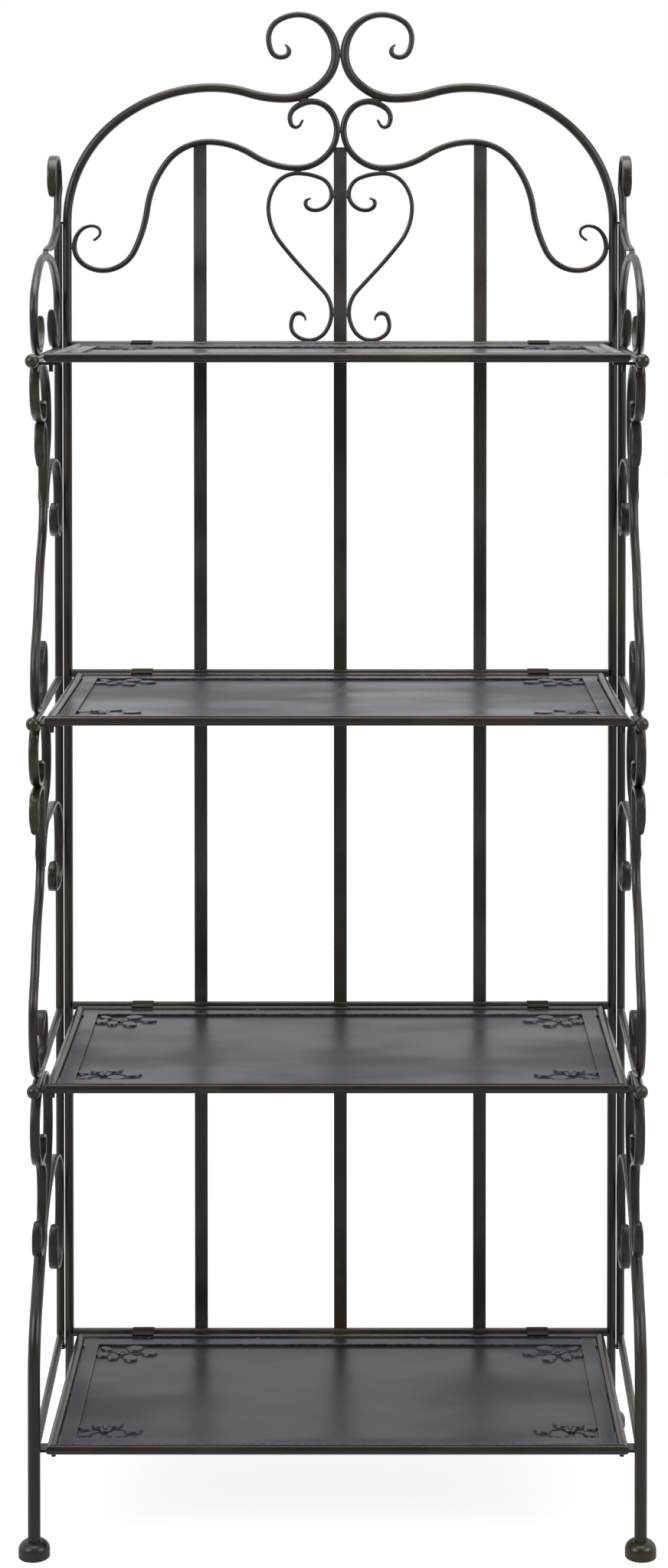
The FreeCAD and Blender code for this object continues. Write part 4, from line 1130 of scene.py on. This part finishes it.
def placed_copies(tree, points, shape):
    """One copy of the shape on each point, turned and sized by the point."""
    inputs = {0: named(tree, "along", "FLOAT_VECTOR"), 1: named(tree, "across", "FLOAT_VECTOR")}
    axes = {"primary_axis": "X", "secondary_axis": "Z"}
    turn = add_node(tree, "FunctionNodeAxesToRotation", inputs, **axes).outputs[0]
    reach = named(tree, "reach", "FLOAT_VECTOR")
    inputs = {"Points": points, "Instance": shape, "Rotation": turn, "Scale": reach}
    return add_node(tree, "GeometryNodeInstanceOnPoints", inputs).outputs["Instances"]


# %% [markdown]
# ## Leaves in the shelf corners
# The press left a spray of leaves round a flower in every corner: low, flat and crisp at the edge.
# A leaf is a disc that is drawn to a point and raised twice, the second time a little smaller, so
# that its rim catches light. Four corners and four shelves share the same rows, turned or mirrored
# to the corner that they grow from.

# %% The leaf tree
LEAF_POINTS, LEAF_POINTED, FLOWER_POINTED = 32, 0.4, 0.15
LEAF_STEPS = ((0.72, 1.0), (0.28, 0.88))  # share of the height, and size of the face on top


def leaf_tree():
    tree, keys, given = new_tree(
        "pressed_leaves",
        outline=("NodeSocketInt", LEAF_POINTS),
        pointed=("NodeSocketFloat", LEAF_POINTED),
        finish=("NodeSocketMaterial",),
    )
    inputs = {"Vertices": given["outline"], "Radius": 1.0}
    disc = add_node(tree, "GeometryNodeMeshCircle", inputs, fill_type="NGON").outputs["Mesh"]
    spot = tree.nodes.new("GeometryNodeInputPosition").outputs[0]
    parts = add_node(tree, "ShaderNodeSeparateXYZ", {0: spot}).outputs
    narrow = maths(tree, "POWER", maths(tree, "ABSOLUTE", parts["Y"]), given["pointed"])
    side = maths(tree, "MULTIPLY", parts["Y"], narrow)
    shaped = add_node(tree, "ShaderNodeCombineXYZ", {"X": parts["X"], "Y": side}).outputs[0]
    inputs = {"Geometry": disc, "Position": shaped}
    leaf = add_node(tree, "GeometryNodeSetPosition", inputs).outputs["Geometry"]
    for rise, size in LEAF_STEPS:
        inputs = {"Mesh": leaf, "Offset": (0, 0, rise), "Offset Scale": 1.0, "Individual": False}
        raised = add_node(tree, "GeometryNodeExtrudeMesh", inputs, mode="FACES").outputs
        inputs = {"Geometry": raised["Mesh"], "Selection": raised["Top"], "Scale": size}
        leaf = add_node(tree, "GeometryNodeScaleElements", inputs, domain="FACE").outputs[0]
    finished(tree, placed_copies(tree, given["Geometry"], leaf), given["finish"])
    return tree, keys


LEAF_TREE, LEAF_KEYS = leaf_tree()
print("leaf tree:", len(LEAF_TREE.nodes), "nodes")

# %% Leaves, petals and stems of one corner, in mm from the corner of the recess
LEAF_HEIGHT = 1.8
LEAVES = (  # along the front, into the shelf, heading, length, width
    (63.0, 23.0, 15, 13.0, 8.5),
    (45.0, 10.5, -10, 13.5, 9.5),
    (41.5, 39.5, 40, 12.5, 9.0),
    (21.0, 36.5, 140, 9.5, 7.5),
    (8.0, 29.0, 165, 10.5, 7.0),
    (10.5, 11.5, 220, 10.5, 6.0),
)
FLOWER = complex(31.5, 24.0)
PETAL_COUNT, PETAL_REACH, PETAL_TURN = 5, 4.4, 20
PETAL = (2.1, 1.8)
BOSS = (1.9, 1.9)
STEMS = (  # pegs along the front, into the shelf, heading
    {"flower": (38.5, 27.0, 15), "leaf": (57.0, 23.5, -20)},
    {"edge": (55.0, 1.0, 85), "leaf": (58.5, 17.5, 65)},
    {"near": (25.5, 33.0, 0), "far": (36.5, 35.0, 15)},
    {"flower": (25.0, 21.0, 205), "leaf": (14.5, 14.5, 220)},
    {"flower": (24.5, 26.5, 170), "leaf": (13.0, 28.5, 165)},
)
STEM = (0.75, 0.9, 0.0)
STEM_SHAPE = {"points": 10, "uneven": 0.0, "finish": SHEET_FINISH}


# %% Places of the copies in one corner
def corner_plane(low, high, right, rear, base):
    """Forward runs along the front from the recess corner, up runs into the shelf."""
    x, ahead = (high.x - BORDER, -1) if right else (low.x + BORDER, 1)
    y, inward = (high.y - BORDER, -1) if rear else (low.y + BORDER, 1)
    return Plane((x, y, base), (ahead, 0, 0), (0, inward, 0))


def stamp_row(plane, spot, angle, size):
    along = plane.direction(cmath.rect(1, math.radians(angle)))
    reach = Vector((size[0], size[1], LEAF_HEIGHT)) * MM
    return plane.place(spot), along, Vector((0, 0, 1)), reach


def corner_rows(plane):
    leaves = [
        stamp_row(plane, complex(forward, into), angle, (length / 2, width / 2))
        for forward, into, angle, length, width in LEAVES
    ]
    flower = [stamp_row(plane, FLOWER, 0, BOSS)]
    for number in range(PETAL_COUNT):
        angle = 360 / PETAL_COUNT * number + PETAL_TURN
        spot = FLOWER + cmath.rect(PETAL_REACH, math.radians(angle))
        flower.append(stamp_row(plane, spot, angle, PETAL))
    return leaves, flower


# %% Sprays on all shelves
CORNERS = {"front_left": (0, 0), "rear_left": (0, 1), "front_right": (1, 0), "rear_right": (1, 1)}
STEM_LINES = [forged_line(pegs, [(next(iter(pegs)), STEM)]) for pegs in STEMS]


def relief_piece(name, number, corners, taper):
    """Leaves or flowers of all corners of one shelf; taper is how pointed they are."""
    source = stamp_mesh(f"{name}_points", [row for rows in corners for row in rows])
    settings = {LEAF_KEYS["pointed"]: taper, LEAF_KEYS["finish"]: SHEET_FINISH}
    piece = evaluated_piece(f"{name}_{number}", source, LEAF_TREE, settings)
    seated(piece, f"shelf_{number}", slot="shelf_metal")


for number in SHELVES:
    low, high = box_mm(f"shelf_panel_{number}")
    base = low.z + SHEET_THICK
    planes = [corner_plane(low, high, *ends, base) for ends in CORNERS.values()]
    leaves, flowers = zip(*(corner_rows(plane) for plane in planes))
    relief_piece("leaf_relief", number, leaves, LEAF_POINTED)
    relief_piece("flower_relief", number, flowers, FLOWER_POINTED)
    for corner, plane in zip(CORNERS, planes):
        forged(f"stems_{number}_{corner}", STEM_LINES, plane, f"shelf_{number}", **STEM_SHAPE)
print("leaves in each corner:", len(LEAVES), "with", PETAL_COUNT, "petals")

# %% [markdown]
# ## Welds
# Where two bars kiss, a short bead fills the valley between them. A weld is a lumpy drop, so a ball
# is stretched along the joint and pushed about by noise.

# %% The weld tree
LUMP_HEIGHT, LUMP_SCALE = 0.0011, 380.0


def weld_tree():
    tree, keys, given = new_tree(
        "weld_beads", lumps=("NodeSocketFloat", LUMP_HEIGHT), finish=("NodeSocketMaterial",)
    )
    inputs = {"Radius": 1.0, "Subdivisions": 3}
    ball = add_node(tree, "GeometryNodeMeshIcoSphere", inputs).outputs["Mesh"]
    inputs = {"Geometry": placed_copies(tree, given["Geometry"], ball)}
    beads = add_node(tree, "GeometryNodeRealizeInstances", inputs).outputs["Geometry"]
    spot = tree.nodes.new("GeometryNodeInputPosition").outputs[0]
    lumps = noise(tree, spot, LUMP_SCALE, 2.0, 0.5)
    push = maths(tree, "MULTIPLY", maths(tree, "SUBTRACT", lumps, 0.5), given["lumps"])
    outward = tree.nodes.new("GeometryNodeInputNormal").outputs[0]
    inputs = {"Geometry": beads, "Offset": vectors(tree, "SCALE", outward, push)}
    lumpy = add_node(tree, "GeometryNodeSetPosition", inputs).outputs["Geometry"]
    smooth = add_node(tree, "GeometryNodeSetShadeSmooth", {"Geometry": lumpy}).outputs["Geometry"]
    finished(tree, smooth, given["finish"])
    return tree, keys


WELD_TREE, WELD_KEYS = weld_tree()


def weld_rows(plane, welds):
    rows = []
    for spot, angle, reach in welds:
        along = plane.direction(cmath.rect(1, math.radians(angle)))
        rows.append((plane.place(spot), along, plane.across, Vector(reach) * MM))
    return rows


def weld_piece(name, rows, body):
    source, settings = stamp_mesh(f"{name}_points", rows), {WELD_KEYS["finish"]: WELD_FINISH}
    seated(evaluated_piece(name, source, WELD_TREE, settings), body)


# %% Welds of the frames
HEART_FOOT_GAP = 1.0
BACK_WELDS = [
    (complex(0, arch["centre"][1]), 90, (5.0, 2.2, 4.0)),
    (complex(*beside(arch["kiss"], POST_R, 1)), arch["kiss"][2], (6.5, 2.0, 3.4)),
    (complex(0, inner["centre"][1]), 90, (4.0, 1.8, 3.0)),
    (complex(POST_X - POST_R, inner["post"][1]), 90, (3.4, 1.8, 2.6)),
    (complex(heart["top"][0], heart["top"][1] + HEART_R), 0, (4.4, 1.4, 2.2)),
    (complex(SLAT_HALF, heart["slat"][1]), 90, (5.2, 1.6, 1.9)),
    (complex(SLAT_HALF, heart["foot"][1]), 90, (5.2, 1.6, 1.9)),
    (complex(heart["low"][0], heart["low"][1] - HEART_R - HEART_FOOT_GAP), 90, (2.6, 2.4, 2.2)),
]
back_rows = [row for plane in BACK_PLANES.values() for row in weld_rows(plane, BACK_WELDS)]
weld_piece("back_welds", back_rows, "back_frame")
for side, plane in SIDE_PLANES.items():
    weld_piece(f"side_welds_{side}", weld_rows(plane, SIDE_WELDS), f"side_frame_{side}")

# %% Spot welds across the shelf grooves and on the hinge clips
SPOT_WELD_X = (-101.0, 101.0)
SPOT_WELD = (3.2, 1.7, 1.1)
CLIP_WELD_X = (-246.0, -235.0, 236.0, 249.0)
CLIP_WELD = (3.4, 1.3, 0.9)
SPOT_SINK = 0.6
for number in SHELVES:
    low, high = box_mm(f"shelf_panel_{number}")
    flat = Plane((0, 0, high.z - SPOT_SINK), (1, 0, 0), (0, 1, 0))
    edges = (low.y + SLIT / 2, high.y - SLIT / 2)
    spots = [(complex(x, y), 0, SPOT_WELD) for x in SPOT_WELD_X for y in edges]
    tongue = box_mm(f"shelf_hinges_{number}")[0].y
    spots += [(complex(x, tongue), 0, CLIP_WELD) for x in CLIP_WELD_X]
    weld_piece(f"spot_welds_{number}", weld_rows(flat, spots), f"shelf_{number}")
print("welds: back", len(back_rows), "side", len(SIDE_WELDS), "per frame")

# %% [markdown]
# ## Solids that keep their shape
# Rails, side posts and their pivots, tubes, balls, feet, hinges, tabs and pegs are already right, so
# the solids stay and only get a finish.

# %% Finish on the kept solids
KEPT_FINISHES = {
    "ball_finials": BALL_FINISH,
    "shelf_frame": TUBE_FINISH,
    "shelf_hinges": CLIP_FINISH,
    "front_foot": BALL_FINISH,
    "back_foot": BALL_FINISH,
}
for name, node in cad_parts.items():
    finish = next((f for start, f in KEPT_FINISHES.items() if name.startswith(start)), BAR_FINISH)
    node.data.materials.clear()
    node.data.materials.append(finish)
print("solids with a finish:", len(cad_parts))

# %% [markdown]
# ## Studio and camera
# The object stands on a pale floor in front of a white backdrop, and metal mirrors that white too.
# The room behind the camera is dim, which is what makes the front of a dark bar dark and its flanks
# bright. The lamps stay at a plain level. The photograph was taken almost level from chest height,
# so the lens is shifted down rather than tilted.

# %% Levels and lamps of the studio
FLOOR_SIZE = 30.0
FLOOR_WHITE = 0.87
ROOM_SHADE = 0.12
ROOM_TO_BACKDROP_Y = (-0.6, 1.0)
PAPER_GREY = (0.30, 0.30, 0.30, 1)
WORLD_LEVEL = 0.55
BACKDROP_START_Y = (-0.45, 0.35)
BACKDROP_FALL_Z, BACKDROP_TOP = (0.25, 0.75), 0.55
LAMP_AIM = (0, 0, 0.9)
SOFTBOXES = (  # name, place, size and power
    ("left_softbox", (-2.6, -2.0, 2.6), 1.8, 60),
    ("right_softbox", (2.7, -1.6, 2.4), 1.8, 50),
    ("top_softbox", (0.0, 0.1, 3.4), 2.2, 62),
)


def ray_kinds(tree):
    """Sockets that are 1 for rays from the camera or through glass, and for mirrored rays."""
    path = tree.nodes.new("ShaderNodeLightPath").outputs
    seen = maths(tree, "MAXIMUM", path["Is Camera Ray"], path["Is Transmission Ray"])
    return seen, path["Is Glossy Ray"]


# %% Floor
def studio_floor():
    mesh = bpy.data.meshes.new("studio_floor")
    half = FLOOR_SIZE / 2
    corners = [(-half, -half, 0), (half, -half, 0), (half, half, 0), (-half, half, 0)]
    mesh.from_pydata(corners, [], [(0, 1, 2, 3)])
    floor = bpy.data.objects.new("studio_floor", mesh)
    bpy.context.scene.collection.objects.link(floor)
    paper = bpy.data.materials.new("studio_paper")
    paper.use_nodes = True
    tree = paper.node_tree
    tree.nodes.clear()
    matt = add_node(tree, "ShaderNodeBsdfDiffuse", {"Color": PAPER_GREY})
    spot = tree.nodes.new("ShaderNodeNewGeometry").outputs["Position"]
    depth = add_node(tree, "ShaderNodeSeparateXYZ", {0: spot}).outputs["Y"]
    seen, mirrored = ray_kinds(tree)
    shade = ramp(tree, depth, *ROOM_TO_BACKDROP_Y, ROOM_SHADE, FLOOR_WHITE)
    dimmed = maths(tree, "MULTIPLY", mirrored, shade)
    strength = maths(tree, "MAXIMUM", maths(tree, "MULTIPLY", seen, FLOOR_WHITE), dimmed)
    glow = add_node(tree, "ShaderNodeEmission", {"Strength": strength})
    both = add_node(tree, "ShaderNodeAddShader", {0: matt.outputs[0], 1: glow.outputs[0]})
    output = tree.nodes.new("ShaderNodeOutputMaterial")
    tree.links.new(both.outputs[0], output.inputs["Surface"])
    mesh.materials.append(paper)


# %% World and lamps
def studio_world():
    world = bpy.data.worlds.new("studio")
    bpy.context.scene.world = world
    world.use_nodes = True
    tree = world.node_tree
    back = next(n for n in tree.nodes if n.type == "BACKGROUND")
    back.inputs["Color"].default_value = (1, 1, 1, 1)
    way = tree.nodes.new("ShaderNodeTexCoord").outputs["Generated"]
    parts = add_node(tree, "ShaderNodeSeparateXYZ", {0: way}).outputs
    seen, mirrored = ray_kinds(tree)
    behind = ramp(tree, parts["Y"], *BACKDROP_START_Y, ROOM_SHADE, 1.0)
    above = ramp(tree, parts["Z"], *BACKDROP_FALL_Z, 1.0, BACKDROP_TOP)
    extra = maths(tree, "SUBTRACT", maths(tree, "MULTIPLY", behind, above), WORLD_LEVEL)
    lit = maths(tree, "ADD", maths(tree, "MULTIPLY", mirrored, extra), WORLD_LEVEL)
    tree.links.new(maths(tree, "MAXIMUM", lit, seen), back.inputs["Strength"])


def softbox(name, place, size, power):
    lamp = bpy.data.lights.new(name, "AREA")
    lamp.size = size
    lamp.energy = power
    obj = bpy.data.objects.new(name, lamp)
    obj.location = place
    obj.rotation_euler = (Vector(LAMP_AIM) - Vector(place)).to_track_quat("-Z", "Y").to_euler()
    bpy.context.scene.collection.objects.link(obj)


studio_floor()
studio_world()
for lamp in SOFTBOXES:
    softbox(*lamp)
print("softboxes:", len(SOFTBOXES))

# %% Camera at the photograph's place
IMAGE_WIDTH, IMAGE_HEIGHT = 872, 2048
FOCAL_PX = 3632.0
LENS_CENTRE_PX = (479.7, 409.0)
CAMERA_PLACE = (0.0335, -3.2454, 1.4507)
TILT = math.radians(1.2)
FARTHEST_SEEN = 100.0

camera = bpy.data.cameras.new("photo_camera")
camera.sensor_fit = "VERTICAL"
camera.sensor_height = camera.sensor_width
camera.lens = camera.sensor_height * FOCAL_PX / IMAGE_HEIGHT
camera.shift_x = (IMAGE_WIDTH / 2 - LENS_CENTRE_PX[0]) / IMAGE_HEIGHT
camera.shift_y = (LENS_CENTRE_PX[1] - IMAGE_HEIGHT / 2) / IMAGE_HEIGHT
camera.clip_end = FARTHEST_SEEN
viewer = bpy.data.objects.new("photo_camera", camera)
viewer.location = CAMERA_PLACE
viewer.rotation_euler = (math.pi / 2 - TILT, 0, 0)
bpy.context.scene.collection.objects.link(viewer)
bpy.context.scene.camera = viewer
bpy.context.scene.view_settings.view_transform = "Standard"
print(f"lens {camera.lens:.1f} mm, shift {camera.shift_x:.3f}, {camera.shift_y:.3f}")
